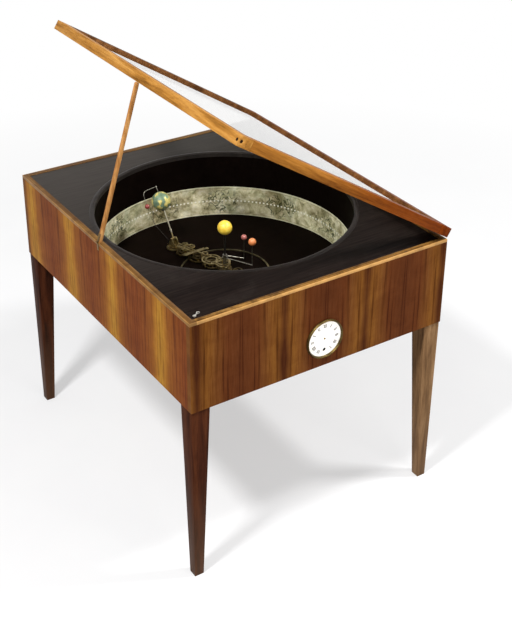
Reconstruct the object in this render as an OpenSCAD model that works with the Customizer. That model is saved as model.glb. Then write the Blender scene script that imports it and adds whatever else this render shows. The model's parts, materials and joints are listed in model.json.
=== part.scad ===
// Orrery clock: a veneered table with a glazed lid, a sunk round well and a geared brass orrery.
// Millimetres. +Z is up and the table stands on z = 0, with its front face towards -Y.
// The lid is hinged along the right side and stands open on its prop, as seen from the front left.

/* [Table] */
// Width over the side boards
table_w = 785; // [740:5:880]
// Depth over the front and back boards
table_d = 960; // [900:5:1100]
// Height from the floor to the rim
table_h = 780; // [700:5:860]
// Height of the case, rim included
apron_h = 255; // [250:1:290]
// Thickness of the case boards
board_t = 16; // [12:0.5:18]
// Width of the light strip on top of the boards
rim_w = 16; // [12:0.5:18]
// Height of that strip
rim_t = 8; // [6:0.5:12]
// Thickness of the black top board
top_t = 12; // [9:0.5:14]
// How far the black top lies below the rim
top_recess = 2; // [1.5:0.1:3]
// Thickness of the bottom board
bottom_t = 8; // [6:0.5:10]
// How far the bottom board lies above the lower edge of the case
bottom_recess = 2; // [1:0.5:4]

/* [Legs] */
// Side of the square leg where it meets the case
leg_top = 52; // [44:1:60]
// Side of the square leg at the floor
leg_foot = 26; // [20:1:34]
// How far the leg stands back from the case faces
leg_inset = 2; // [0:0.5:6]
// How far its foot stands back from those faces
foot_inset = 4; // [2:0.5:12]

/* [Well] */
// Width of the black top left between the bead and the rim at the sides
strip_w = 4.5; // [3:0.5:24]
// Thickness of the drum's wall
wall_t = 6; // [4:0.5:8]
// Depth of the well's floor below the rim
well_depth = 210; // [206:1:211]
// Thickness of the well's floor
floor_t = 8; // [6:0.5:8]
// Width of the moulded bead round the opening
bead_w = 14; // [10:0.5:16]
// Height of the painted band
band_h = 95; // [70:1:120]
// Thickness of the painted band
band_t = 1.5; // [1:0.1:2]
// Width of the band's raised top edge
band_lip = 2.5; // [2:0.1:4]
// Mean radius of the brass ring on the floor
ring_r = 127; // [118:1:134]
// Width of that ring
ring_w = 4; // [3:0.5:6]
// Height of that ring
ring_t = 3; // [2:0.2:3.6]
// Depth of the two rails under the well's floor
bearer_d = 30; // [20:1:40]
// Distance of each rail from the middle
bearer_y = 150; // [120:5:200]

/* [Lid] */
// Angle at which the lid stands open
lid_open = 32.5; // [30:0.5:36]
// Thickness of the lid's rails
lid_t = 26.5; // [24:0.5:32]
// Width of the lid's rails
rail_w = 40; // [34:1:50]
// How far the lid stops short of the left face
lid_short = 8; // [4:0.5:10]
// How far the lid stops short of the front and back faces
lid_set_in = 3; // [0:0.5:6]
// Gap between the rim and the closed lid
lid_gap = 2; // [1.6:0.1:3]
// Thickness of the glass
glass_t = 3; // [2.5:0.1:4]
// Width of the rebate that holds the glass
rebate_w = 10; // [8:0.5:14]
// Depth of that rebate
rebate_d = 10; // [8:0.5:12]
// Length of each hinge
hinge_len = 70; // [50:1:90]
// Distance of each hinge from the middle
hinge_y = 300; // [250:5:340]
// Outer diameter of the hinge knuckle
knuckle_d = 6; // [5:0.2:7]
// Diameter of the hinge pin
hinge_pin_d = 3; // [2.5:0.1:3.2]
// Width of each hinge leaf
leaf_w = 14; // [11:0.5:15]
// Thickness of each hinge leaf
leaf_t = 0.8; // [0.5:0.05:0.9]
// Diameter of the dark plugs at the lid's front left corner
plug_d = 8; // [6:0.5:9]
// Distance of each plug from that corner
plug_in = 8; // [8:0.5:14]
// Depth of each plug
plug_deep = 3; // [2:0.5:3]

/* [Prop] */
// Side of the square prop
prop_side = 9.5; // [9:0.5:12]
// Distance of the prop's pivot outside the left face and above the rim
prop_out = 2.5; // [2.3:0.1:3]
// Distance of the pivot from the prop's outer face
prop_stand = 3.5; // [3.3:0.1:4.5]
// Distance of the prop from the front face
prop_from_front = 472; // [420:2:560]
// How far inside the lid's edge the prop's tip meets it
prop_tip_in = 5; // [3:0.5:8]
// Free gap between the prop's tip and the lid
prop_gap = 0.8; // [0.7:0.1:1.5]
// Diameter of the prop's pivot pin
prop_pin_d = 2.4; // [2:0.1:2.8]
// Outer diameter of the prop's hinge knuckle
prop_knuckle_d = 5; // [4.6:0.1:5]
// Thickness of the prop's hinge leaves
prop_leaf_t = 1.2; // [1:0.1:1.3]
// Length of those leaves
prop_leaf_len = 24; // [16:1:34]

/* [Dial and movement] */
// Outer radius of the bezel
bezel_r = 55.5; // [55:0.5:60]
// Radius of the enamel dial
dial_r = 51; // [46:0.5:51.5]
// Height of the bezel in front of the case
bezel_t = 7; // [5:0.5:9]
// Depth of the dial's centre below the rim
dial_drop = 174; // [172:1:175]
// Width of the movement's plates
plate_w = 92; // [90:1:100]
// Height of the plates above the dial's centre
plate_high = 44; // [43:1:52]
// Thickness of the movement's plates
plate_t = 2.5; // [2:0.1:3]
// Distance between the two plates
plate_gap = 40; // [36:1:44]
// Diameter of the spring barrel
barrel_d = 46; // [40:1:47]
// Length of the barrel's drum
barrel_len = 13; // [8:1:13]

/* [Orrery] */
// Direction in which the annual arm points
arm_az = 107; // [90:1:125]
// Direction of the Venus arm
venus_az = -62; // [-80:1:-55]
// Direction of the Mercury arm
mercury_az = -49; // [-52:1:-30]
// Diameter of the sun
sun_d = 41.5; // [36:0.5:46]
// Height of the sun's centre above the well's floor
sun_z = 141; // [130:1:160]
// Diameter of Venus
venus_d = 22; // [18:0.5:24]
// Radius of the orbit of Venus
venus_r = 88; // [78:1:90]
// Diameter of Mercury
mercury_d = 16.5; // [14:0.5:18]
// Radius of the orbit of Mercury
mercury_r = 56; // [50:1:58]
// Height of both planets above the well's floor
planet_z = 119; // [100:1:122]
// Height of the Venus arm above the well's floor
venus_arm_z = 48; // [46:1:50]
// Diameter of the globe
globe_d = 55.5; // [50:0.5:58]
// Height of the globe's centre above the well's floor
globe_z = 143.5; // [140:0.5:150]
// Tilt of the globe's axis
globe_tilt = 23.4; // [20:0.1:25]
// Distance from the globe's centre to the knob above it
knob_up = 45; // [42:0.5:50]
// Radius of the moon's path round the globe's axis
moon_r = 46; // [44:0.5:48]
// Diameter of the moon
moon_d = 14; // [12:0.5:15]
// Direction of the moon, turned from the tilt's direction
moon_az = 72; // [0:1:359]
// Diameter of the sun's rod
post_d = 5.5; // [5:0.1:6]
// Wall of each of the nested tubes
tube_wall = 1.45; // [1.2:0.05:1.6]
// Radial clearance of every running fit
fit = 0.05; // [0.03:0.01:0.08]

/* [Wheels] */
// Module of the wheels under the annual arm
arm_module = 1.25; // [1.25:0.01:1.25]
// Teeth of the fixed wheel and of the globe's wheel
sun_teeth = 32; // [32:1:32]
// Teeth of the three wheels between them
idler_teeth = [44, 44, 40];
// Module of the wheels under the floor and of the going train
train_module = 1; // [1:0.01:1]
// Thickness of the arm's wheels
arm_wheel_t = 4; // [3:0.2:4.4]
// Thickness of the other wheels
wheel_t = 3; // [2:0.2:3.4]

/* [Hidden] */
$fa = 4;
$fs = 0.6;

half_w = table_w / 2;
half_d = table_d / 2;
case_z = table_h - apron_h;
board_top = table_h - rim_t;
edge_in = max(rim_w, board_t);
top_z = table_h - top_recess;
top_under = top_z - top_t;
bottom_z = case_z + bottom_recess;
bottom_top = bottom_z + bottom_t;
floor_z = table_h - well_depth;
floor_under = floor_z - floor_t;
rail_h = floor_under - bottom_top;
bead_over = 1;
opening_r = half_w - edge_in - strip_w;
well_r = opening_r - bead_w + bead_over;
wall_r = well_r + wall_t;

hinge_x = half_w + 1.5;
hinge_z = table_h + lid_gap / 2;
lid_under = lid_gap / 2;
lid_right = half_w - hinge_x;
lid_left = -(half_w + hinge_x - lid_short);
lid_half_d = half_d - lid_set_in;
knuckle_clear = 0.5;
catch_at = [30, 28];
peg_d = 3;
hook_az = 30;
hook_reach = 17;
hook_t = 1.5;
hook_gap = 0.3;

// The prop's middle line runs beside its pivot, so its length follows from a right triangle
prop_half = prop_side / 2;
prop_y = -half_d + prop_from_front;
prop_pivot = [-half_w - prop_out, table_h + prop_out];
prop_offset = prop_stand + prop_half;
tip_a = -lid_left - prop_tip_in;
tip_n = lid_under - prop_gap - prop_half;
tip = [hinge_x - tip_a * cos(lid_open) + tip_n * sin(lid_open),
    hinge_z + tip_a * sin(lid_open) + tip_n * cos(lid_open)];
tip_away = norm(tip - prop_pivot);
prop_run = sqrt(tip_away * tip_away - prop_offset * prop_offset);
prop_lean = 90 - atan2(tip[1] - prop_pivot[1], tip[0] - prop_pivot[0]) - atan2(prop_offset,
    prop_run);

dial_z = table_h - dial_drop;
front_in = -half_d + board_t;
plate_y = front_in + 6;
back_plate_y = plate_y + plate_t + plate_gap;
great_teeth = 51;
centre_teeth = 13;
drive_teeth = 12;
second_teeth = 48;
escape_teeth = 12;
second_module = 0.8;
winding_drop = train_module * (great_teeth + centre_teeth) / 2;
winding_z = dial_z - winding_drop;
escape_z = dial_z + second_module * (second_teeth + escape_teeth) / 2;
drive_z = winding_z - train_module * (great_teeth + drive_teeth) / 2;
wheel_y = plate_y + plate_t + 8;
second_y = plate_y + plate_t + 26;
centre_hole_d = 7;
winding_hole_d = 11;
arbor_d = 3;
drive_d = 4;
worm_d = 6;

// The nested tubes run one inside the next round the sun's rod
mercury_bore = post_d + 2 * fit;
mercury_tube = mercury_bore + 2 * tube_wall;
venus_bore = mercury_tube + 2 * fit;
venus_tube = venus_bore + 2 * tube_wall;
annual_bore = venus_tube + 2 * fit;
annual_tube = annual_bore + 2 * tube_wall + 1;
mercury_arm_z = venus_arm_z + 7;
hub_t = 5;
planet_wire_d = 1.8;
moon_wire_d = 1.4;

// Wheels under the floor, each pair with the same sum of teeth
annual_teeth = 58;
annual_lay = 29;
venus_teeth = 48;
venus_lay = 39;
mercury_teeth = 28;
mercury_lay = 59;
lay_distance = train_module * (annual_teeth + annual_lay) / 2;
worm_wheel_teeth = 60;
lay_x = -(worm_d / 2 + 0.3 + train_module * (worm_wheel_teeth / 2 + 0.9));
lay_y = -sqrt(lay_distance * lay_distance - lay_x * lay_x);
lay_az = atan2(lay_y, lay_x);
annual_wheel_z = floor_under - 2 - wheel_t;
venus_wheel_z = annual_wheel_z - 2 - wheel_t;
mercury_wheel_z = venus_wheel_z - 2 - wheel_t;
worm_wheel_z = mercury_wheel_z - 1.5 - wheel_t;
cradle_t = 3;

// Places along the annual arm, from the middle outwards
first_r = arm_module * (sun_teeth + idler_teeth[0]) / 2;
second_r = first_r + arm_module * (idler_teeth[0] + idler_teeth[1]) / 2;
third_r = second_r + arm_module * (idler_teeth[1] + idler_teeth[2]) / 2;
carrier_r = third_r + arm_module * (idler_teeth[2] + sun_teeth) / 2;
arm_wheel_z = floor_z + 5;
arm_plate_z = arm_wheel_z + arm_wheel_t + 1;
arm_plate_t = 2.5;
gallery_z = arm_plate_z + 16;
gallery_t = 2;
stud_d = 4;
turret_d = 8;
axis_foot_z = 37;
globe_out = (globe_z - axis_foot_z) * tan(globe_tilt);
stem_len = (globe_z - axis_foot_z) / cos(globe_tilt);
stem_d = 4;
pointer_r = 300;
pointer_turn = -3.5;
pointer_d = 1.8;
spindle_d = 2;
globe_r = globe_d / 2;

// Angle of a tooth's flank from its middle line, for an involute of 20 degrees
function roll(a) = tan(a) * 180 / PI - a;
function flank(n, m, r, slack) =
    90 / n + roll(20) - roll(acos(min(1, m * n / 2 * cos(20) / r))) - slack / r * 180 / PI;
function tooth_radii(n, m, high, low) = [m * (n / 2 - low), m * n / 2, m * (n / 2 + high)];
function gear_points(n, m, high, low, slack) = [
    for (k = [0 : n - 1])
        let (r = tooth_radii(n, m, high, low))
            for (j = [0 : 5])
                let (i = j < 3 ? j : 5 - j)
                    let (side = j < 3 ? -1 : 1)
                        let (a = k * 360 / n + side * flank(n, m, r[i], slack))
                            [r[i] * cos(a), r[i] * sin(a)]];

// A wheel meshes with the next one at angle 0 when the sum of the two phases is a half
function phase(rot, n, at) = (at - rot) * n / 360;
function next_rot(rot, n, n_next, at) = at + 180 - (0.5 - phase(rot, n, at)) * 360 / n_next;

idler_rot_1 = next_rot(0, sun_teeth, idler_teeth[0], 0);
idler_rot_2 = next_rot(idler_rot_1, idler_teeth[0], idler_teeth[1], 0);
idler_rot_3 = next_rot(idler_rot_2, idler_teeth[1], idler_teeth[2], 0);
carrier_rot = next_rot(idler_rot_3, idler_teeth[2], sun_teeth, 0);

module gear_2d(n, m, slack = 0.16, high = 0.85, low = 1.2) {
    polygon(gear_points(n, m, high, low, slack));
}

// A wheel with a rim, four arms and a hub, its bore on the z axis
module wheel(n, m, t, bore, hub, slack = 0.16) {
    inner = m * (n / 2 - 1.2) - 2.6;
    linear_extrude(t) difference() {
        gear_2d(n, m, slack);
        if (inner > hub + 3) difference() {
            circle(inner);
            circle(hub);
            for (a = [45, 135]) rotate(a) square([2 * inner + 2, 3.4], center = true);
        }
        circle(d = bore, $fn = 48);
    }
}

module tube(outer, bore, h) {
    difference() {
        cylinder(d = outer, h = h, $fn = 64);
        translate([0, 0, -1]) cylinder(d = bore, h = h + 2, $fn = 64);
    }
}

module along_y(y) {
    translate([0, y, 0]) rotate([-90, 0, 0]) children();
}

module flipped(side, direction) {
    if (side > 0) mirror(direction) children();
    else children();
}

// Legs: a square block tapered mostly on its inner faces, with a post that stands inside the case corner
module leg_side() {
    foot_shift = foot_inset - leg_inset;
    linear_extrude(leg_top)
        polygon([[foot_shift, 0], [foot_shift + leg_foot, 0], [leg_top, case_z], [0, case_z]]);
}

module leg(sx, sy) {
    post_in = board_t - leg_inset;
    post_side = leg_top - post_in - 1;
    post_low = case_z - 6;
    color("#3a2018") flipped(sy, [0, 1, 0]) flipped(sx, [1, 0, 0])
        translate([-half_w + leg_inset, -half_d + leg_inset, 0]) {
            intersection() {
                translate([0, leg_top, 0]) rotate([90, 0, 0]) leg_side();
                rotate([90, 0, 90]) leg_side();
            }
            translate([post_in, post_in, post_low])
                cube([post_side, post_side, top_under - post_low]);
        }
}

module front_board() {
    color("#8a4f26") difference() {
        translate([-half_w, -half_d, case_z]) cube([table_w, board_t, board_top - case_z]);
        translate([0, 0, dial_z]) along_y(-half_d - 1)
            cylinder(r = dial_r + 0.5, h = board_t + 2, $fn = 96);
    }
}

module back_board() {
    color("#8a4f26") translate([-half_w, half_d - board_t, case_z])
        cube([table_w, board_t, board_top - case_z]);
}

module side_board(sx) {
    color("#9a5f2c")
        translate([sx * (half_w - board_t / 2) - board_t / 2, -half_d + board_t, case_z])
        cube([board_t, table_d - 2 * board_t, board_top - case_z]);
}

module knuckle_cut() {
    for (s = [-1, 1]) translate([hinge_x, s * hinge_y, hinge_z]) rotate([90, 0, 0])
        cylinder(d = knuckle_d + 2 * knuckle_clear, h = hinge_len + 2, center = true, $fn = 48);
}

module mitred_strip(len) {
    linear_extrude(rim_t)
        polygon([[-len / 2, 0], [len / 2, 0], [len / 2 - rim_w, rim_w], [-len / 2 + rim_w, rim_w]]);
}

module rim_strips() {
    color("#b98f5e") difference() {
        for (a = [0, 180]) rotate(a) {
            translate([0, -half_d, board_top]) mitred_strip(table_w);
            translate([-half_w, 0, board_top]) rotate(-90) mitred_strip(table_d);
        }
        knuckle_cut();
    }
}

module top_board() {
    color("#2a2527") difference() {
        translate([-half_w + edge_in, -half_d + edge_in, top_under])
            cube([table_w - 2 * edge_in, table_d - 2 * edge_in, top_t]);
        translate([0, 0, top_under - 1]) cylinder(r = opening_r, h = top_t + 2, $fn = 180);
    }
}

module bottom_board() {
    color("#4a3426") difference() {
        translate([-half_w + board_t, -half_d + board_t, bottom_z])
            cube([table_w - 2 * board_t, table_d - 2 * board_t, bottom_t]);
        leg_square = leg_top + leg_inset - board_t;
        for (sx = [-1, 1], sy = [-1, 1])
            translate([sx * (half_w - board_t - leg_square / 2), sy * (half_d - board_t - leg_square / 2), bottom_z])
                cube([leg_square, leg_square, 3 * bottom_t], center = true);
    }
}

module floor_rails() {
    color("#5a4030") difference() {
        for (s = [-1, 1]) translate([-half_w + board_t, s * bearer_y - bearer_d / 2, bottom_top])
            cube([table_w - 2 * board_t, bearer_d, rail_h]);
        translate([0, 0, drive_z]) along_y(-bearer_y - bearer_d)
            cylinder(d = drive_d + 2 * fit, h = 2 * bearer_d, $fn = 32);
    }
}

module well_wall() {
    color("#1c1a1b") translate([0, 0, floor_under]) difference() {
        cylinder(r = wall_r, h = top_under - floor_under, $fn = 180);
        translate([0, 0, -1]) cylinder(r = well_r, h = top_under - floor_under + 2, $fn = 180);
    }
}

module well_floor() {
    color("#1a1716") translate([0, 0, floor_under]) difference() {
        cylinder(r = well_r, h = floor_t, $fn = 180);
        translate([0, 0, -1]) cylinder(d = annual_tube + 2, h = floor_t + 2, $fn = 64);
        translate([lay_x, lay_y, -1]) cylinder(d = arbor_d + 2 * fit, h = 5, $fn = 32);
    }
}

module well_bead() {
    bow_r = 0.9 * bead_w;
    color("#232022") translate([0, 0, top_under]) rotate_extrude($fn = 180)
        translate([opening_r - bead_w, 0]) {
            square([bead_w, top_t]);
            translate([bead_w / 2, top_t]) intersection() {
                translate([0, top_recess - bow_r]) circle(bow_r, $fn = 48);
                translate([-bead_w / 2, -0.5]) square([bead_w, top_recess + 1]);
            }
        }
}

module zodiac_band() {
    color("#a9a585") translate([0, 0, floor_z]) rotate_extrude($fn = 180) {
        translate([well_r - band_t, 0]) square([band_t, band_h]);
        translate([well_r - band_lip, band_h - 2]) square([band_lip, 2]);
    }
}

module floor_ring() {
    color("#8c7d4a") translate([0, 0, floor_z])
        difference() {
            cylinder(r = ring_r + ring_w / 2, h = ring_t, $fn = 120);
            translate([0, 0, -1]) cylinder(r = ring_r - ring_w / 2, h = ring_t + 2, $fn = 120);
        }
}

// Hinges: a knuckle in three lengths round one pin, the middle one on the lid's leaf
module knuckle(len, bore) {
    rotate([90, 0, 0]) difference() {
        cylinder(d = knuckle_d, h = len, center = true, $fn = 48);
        cylinder(d = bore, h = len + 2, center = true, $fn = 48);
    }
}

module case_hinge_leaves() {
    third = hinge_len / 3;
    color("#8c7d4a") for (s = [-1, 1]) translate([hinge_x, s * hinge_y, hinge_z]) {
        difference() {
            translate([-leaf_w, -hinge_len / 2, -lid_gap / 2]) cube([leaf_w, hinge_len, leaf_t]);
            rotate([90, 0, 0])
                cylinder(d = hinge_pin_d, h = hinge_len + 2, center = true, $fn = 48);
            translate([-knuckle_d / 2 - knuckle_clear, -third / 2 - 0.2, -knuckle_d])
                cube([knuckle_d + 1, third + 0.4, 2 * knuckle_d]);
        }
        for (k = [-1, 1]) translate([0, k * third, 0]) knuckle(third - 0.4, hinge_pin_d + 0.04);
    }
}

module hinge_pins() {
    color("#b8a878") for (s = [-1, 1]) translate([hinge_x, s * hinge_y, hinge_z])
        rotate([90, 0, 0]) cylinder(d = hinge_pin_d, h = hinge_len - 0.4, center = true, $fn = 48);
}

module on_lid() {
    translate([hinge_x, 0, hinge_z]) rotate([0, lid_open, 0]) children();
}

module lid_hinge_leaves() {
    third = hinge_len / 3;
    color("#8c7d4a") on_lid() for (s = [-1, 1]) translate([0, s * hinge_y, 0]) {
        difference() {
            translate([-leaf_w, -hinge_len / 2, lid_under - leaf_t])
                cube([leaf_w, hinge_len, leaf_t]);
            for (k = [-1, 1])
                translate([-knuckle_d / 2 - knuckle_clear, k * third - third / 2 - 0.2, -knuckle_d])
                cube([knuckle_d + 1, third + 0.4, 2 * knuckle_d]);
            rotate([90, 0, 0])
                cylinder(d = hinge_pin_d + 2 * fit, h = hinge_len, center = true, $fn = 48);
        }
        knuckle(third - 0.4, hinge_pin_d + 2 * fit);
    }
}

module rebate() {
    translate([lid_left + rail_w - rebate_w, -lid_half_d + rail_w - rebate_w, lid_under + lid_t - rebate_d])
        cube([lid_right - lid_left - 2 * (rail_w - rebate_w), 2 * (lid_half_d - rail_w + rebate_w), lid_t]);
}

module plug_holes(extra) {
    translate([lid_left + plug_in, -lid_half_d - extra, lid_under + lid_t / 2]) rotate([-90, 0, 0])
        cylinder(d = plug_d, h = plug_deep + extra, $fn = 32);
    translate([lid_left - extra, -lid_half_d + plug_in, lid_under + lid_t / 2]) rotate([0, 90, 0])
        cylinder(d = plug_d, h = plug_deep + extra, $fn = 32);
}

module lid_side_rail(x) {
    color("#b9803c") on_lid() difference() {
        translate([x, -lid_half_d, lid_under]) cube([rail_w, 2 * lid_half_d, lid_t]);
        rebate();
        plug_holes(1);
        for (s = [-1, 1]) translate([0, s * hinge_y, 0]) rotate([90, 0, 0])
            cylinder(d = knuckle_d + 2 * knuckle_clear, h = hinge_len + 2, center = true, $fn = 48);
    }
}

module lid_end_rail(y) {
    color("#b9803c") on_lid() difference() {
        translate([lid_left + rail_w, y, lid_under])
            cube([lid_right - lid_left - 2 * rail_w, rail_w, lid_t]);
        rebate();
    }
}

module lid_glass() {
    color("#cfe0dc", 0.35) on_lid()
        translate([lid_left + rail_w - rebate_w + 1, -lid_half_d + rail_w - rebate_w + 1, lid_under + lid_t - rebate_d])
        cube([lid_right - lid_left - 2 * (rail_w - rebate_w) - 2, 2 * (lid_half_d - rail_w + rebate_w) - 2, glass_t]);
}

module glass_beads() {
    low = lid_under + lid_t - rebate_d + glass_t;
    high = rebate_d - glass_t;
    w = lid_right - lid_left - 2 * (rail_w - rebate_w);
    d = 2 * (lid_half_d - rail_w + rebate_w);
    color("#7a4a25") on_lid() translate([(lid_left + lid_right) / 2, 0, low]) {
        for (s = [-1, 1]) {
            translate([-w / 2, s * (d / 2 - rebate_w / 2) - rebate_w / 2, 0])
                cube([w, rebate_w, high]);
            translate([s * (w / 2 - rebate_w / 2) - rebate_w / 2, -d / 2 + rebate_w, 0])
                cube([rebate_w, d - 2 * rebate_w, high]);
        }
    }
}

module corner_plugs() {
    color("#2a1a12") on_lid() plug_holes(0);
}

// The catch: a brass hook that swings round a peg on the black top, under the closed lid
module at_catch() {
    translate([-half_w + catch_at[0], -half_d + catch_at[1], top_z]) children();
}

module catch_peg() {
    neck_h = hook_gap + hook_t + hook_gap;
    color("#8c7d4a") at_catch() {
        cylinder(d = peg_d, h = neck_h + 0.5, $fn = 32);
        translate([0, 0, neck_h]) cylinder(d = 2 * peg_d, h = 0.8, $fn = 32);
    }
}

module catch_hook() {
    eye_r = 4.5;
    arm_w = 3;
    color("#a8986a") at_catch() translate([0, 0, hook_gap]) linear_extrude(hook_t) rotate(hook_az)
        difference() {
        union() {
            circle(peg_d * 1.4, $fn = 32);
            translate([0, -arm_w / 2]) square([hook_reach, arm_w]);
            translate([hook_reach, 0]) circle(eye_r, $fn = 32);
        }
        circle(d = peg_d + 2 * fit, $fn = 32);
        translate([hook_reach, 0]) circle(eye_r - 2.1, $fn = 32);
        translate([hook_reach - 1, -eye_r - 1]) square([2.2, eye_r + 1]);
    }
}

// The prop's hinge: one leaf on the left face below the rim, the other on the prop's outer face
module at_prop() {
    translate([prop_pivot[0], prop_y, prop_pivot[1]]) children();
}

module prop_knuckle(y, len, bore) {
    translate([0, y, 0]) rotate([90, 0, 0]) difference() {
        cylinder(d = prop_knuckle_d, h = len, center = true, $fn = 48);
        cylinder(d = bore, h = len + 2, center = true, $fn = 48);
    }
}

module prop_case_leaf() {
    third = prop_side / 3;
    color("#8c7d4a") at_prop() {
        difference() {
            translate([prop_out - prop_leaf_t, -prop_side / 2, -prop_leaf_len])
                cube([prop_leaf_t, prop_side, prop_leaf_len]);
            rotate([90, 0, 0]) cylinder(d = prop_pin_d, h = prop_side + 2, center = true, $fn = 48);
            translate([-prop_out, -third / 2 - 0.2, -prop_out - 0.5])
                cube([2 * prop_out + 1, third + 0.4, prop_out + 1]);
        }
        for (k = [-1, 1]) prop_knuckle(k * third, third - 0.4, prop_pin_d);
    }
}

module prop_pin() {
    color("#b8a878") at_prop() rotate([90, 0, 0])
        cylinder(d = prop_pin_d, h = prop_side + 1, center = true, $fn = 48);
}

module prop_leaf() {
    third = prop_side / 3;
    color("#8c7d4a") at_prop() {
        prop_knuckle(0, third - 0.4, prop_pin_d + 2 * fit);
        rotate([0, prop_lean, 0]) difference() {
            union() {
                translate([prop_stand - prop_leaf_t, -third / 2 + 0.2, 0])
                    cube([prop_leaf_t, third - 0.4, prop_leaf_len]);
                translate([prop_stand - prop_leaf_t, -prop_side / 2, prop_out + 0.6])
                    cube([prop_leaf_t, prop_side, prop_leaf_len - prop_out - 0.6]);
                translate([0, -third / 2 + 0.2, 0])
                    cube([prop_stand, third - 0.4, prop_knuckle_d / 2]);
            }
            rotate([90, 0, 0])
                cylinder(d = prop_pin_d + 2 * fit, h = 2 * prop_side, center = true, $fn = 48);
        }
    }
}

// The prop's square foot stands on the rim and its round tip is under the lid's left rail
module lid_prop() {
    color("#b07c38") intersection() {
        at_prop() rotate([0, prop_lean, 0]) translate([prop_offset, 0, 0]) {
            translate([-prop_half, -prop_half, -prop_side])
                cube([prop_side, prop_side, prop_run + prop_side]);
            translate([0, 0, prop_run]) rotate([90, 0, 0])
                cylinder(r = prop_half, h = prop_side, center = true, $fn = 48);
        }
        translate([-half_w - prop_side, prop_y - prop_side, table_h + 0.2])
            cube([half_w, 2 * prop_side, table_h]);
    }
}

module dial() {
    color("#f2ece4") translate([0, 0, dial_z]) difference() {
        along_y(-half_d - 1.5) cylinder(r = dial_r, h = 2.5, $fn = 96);
        along_y(-half_d - 3) cylinder(d = centre_hole_d, h = 6, $fn = 32);
        translate([0, 0, -winding_drop]) along_y(-half_d - 3)
            cylinder(d = winding_hole_d, h = 6, $fn = 32);
    }
}

module dial_bezel() {
    rise = bezel_t;
    color("#9c8a54") translate([0, 0, dial_z]) rotate([90, 0, 0]) translate([0, 0, half_d])
        rotate_extrude($fn = 120)
        polygon([[dial_r + 0.3, 0], [bezel_r, 0], [bezel_r, rise * 0.45], [bezel_r - 1.8, rise],
            [bezel_r - 3.4, rise], [dial_r - 0.8, rise * 0.4], [dial_r - 0.8, 1.8], [dial_r + 0.3,
                1.8]]);
}

// The movement: two plates on four pillars, fixed behind the dial
module arbor_holes(y, bore) {
    for (p = [[0, dial_z, bore], [0, winding_z, bore + 2], [0, escape_z, bore], [0, drive_z, drive_d + 2 * fit]])
        translate([p[0], 0, p[1]]) along_y(y) cylinder(d = p[2], h = plate_t + 2, $fn = 32);
}

module movement_plates() {
    low = drive_z - 4.5;
    high = dial_z + plate_high;
    pillar_in = 6;
    color("#b39a5a") {
        for (y = [plate_y, back_plate_y]) difference() {
            translate([-plate_w / 2, y, low]) cube([plate_w, plate_t, high - low]);
            arbor_holes(y - 1, arbor_d + 2 * fit);
        }
        for (sx = [-1, 1], z = [low + pillar_in, high - pillar_in])
            translate([sx * (plate_w / 2 - pillar_in), 0, z]) {
            along_y(plate_y + plate_t) cylinder(d = 7, h = plate_gap, $fn = 32);
            along_y(front_in) cylinder(d = 5, h = plate_y - front_in, $fn = 32);
        }
    }
}

module spring_barrel() {
    color("#b39a5a") translate([0, 0, winding_z]) along_y(wheel_y) {
        wheel(great_teeth, train_module, wheel_t, arbor_d + 2 + 2 * fit, 18, 0.2);
        translate([0, 0, wheel_t]) difference() {
            cylinder(d = barrel_d, h = barrel_len, $fn = 72);
            translate([0, 0, -1]) cylinder(d = arbor_d + 2 + 2 * fit, h = barrel_len + 2, $fn = 32);
            translate([0, 0, -1]) tube(barrel_d - 3, arbor_d + 8, barrel_len - 1);
        }
    }
}

module winding_arbor() {
    color("#7c7c80") translate([0, 0, winding_z]) {
        along_y(plate_y - 0.5) cylinder(d = arbor_d + 2, h = plate_gap + 2 * plate_t + 2, $fn = 32);
        along_y(-half_d + 3) translate([-2, -2, 0]) cube([4, 4, plate_y + half_d - 3]);
        along_y(back_plate_y + plate_t + 0.3) rotate(15) linear_extrude(2) difference() {
            circle(11, $fn = 60);
            for (a = [0 : 15 : 345]) rotate(a) translate([9.6, 0]) rotate(30) square([3, 1.6]);
        }
    }
}

module centre_arbor() {
    color("#b39a5a") translate([0, 0, dial_z]) {
        along_y(-half_d - 3)
            cylinder(d = arbor_d, h = back_plate_y + plate_t + half_d + 3, $fn = 32);
        along_y(wheel_y - 1) rotate(next_rot(0, great_teeth, centre_teeth, -90))
            linear_extrude(wheel_t + 2) gear_2d(centre_teeth, train_module, 0.36, 0.7, 1.2);
        along_y(second_y) wheel(second_teeth, second_module, wheel_t, arbor_d - 0.4, 4);
    }
}

module escape_arbor() {
    color("#b39a5a") translate([0, 0, escape_z]) {
        along_y(plate_y) cylinder(d = arbor_d, h = back_plate_y + plate_t - plate_y, $fn = 32);
        along_y(second_y - 1) rotate(next_rot(0, second_teeth, escape_teeth, -90))
            linear_extrude(wheel_t + 2)
            gear_2d(escape_teeth, second_module, 0.3, 0.7, 1.2);
        along_y(second_y + 8) linear_extrude(1.5) difference() {
            circle(11, $fn = 60);
            for (a = [0 : 24 : 336]) rotate(a) translate([8.4, 0]) rotate(20) square([4, 2.2]);
        }
    }
}

// The drive runs under the floor from the movement to the wheels in the middle
module drive_shaft() {
    worm_len = 22;
    color("#8a8a8c") translate([0, 0, drive_z]) {
        along_y(plate_y) cylinder(d = drive_d, h = lay_y - plate_y, $fn = 32);
        along_y(wheel_y - 1) rotate(next_rot(0, great_teeth, drive_teeth, 90))
            linear_extrude(wheel_t + 2) gear_2d(drive_teeth, train_module, 0.36, 0.7, 1.2);
        along_y(lay_y - worm_len / 2) cylinder(d = worm_d, h = worm_len, $fn = 48);
    }
}

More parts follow.
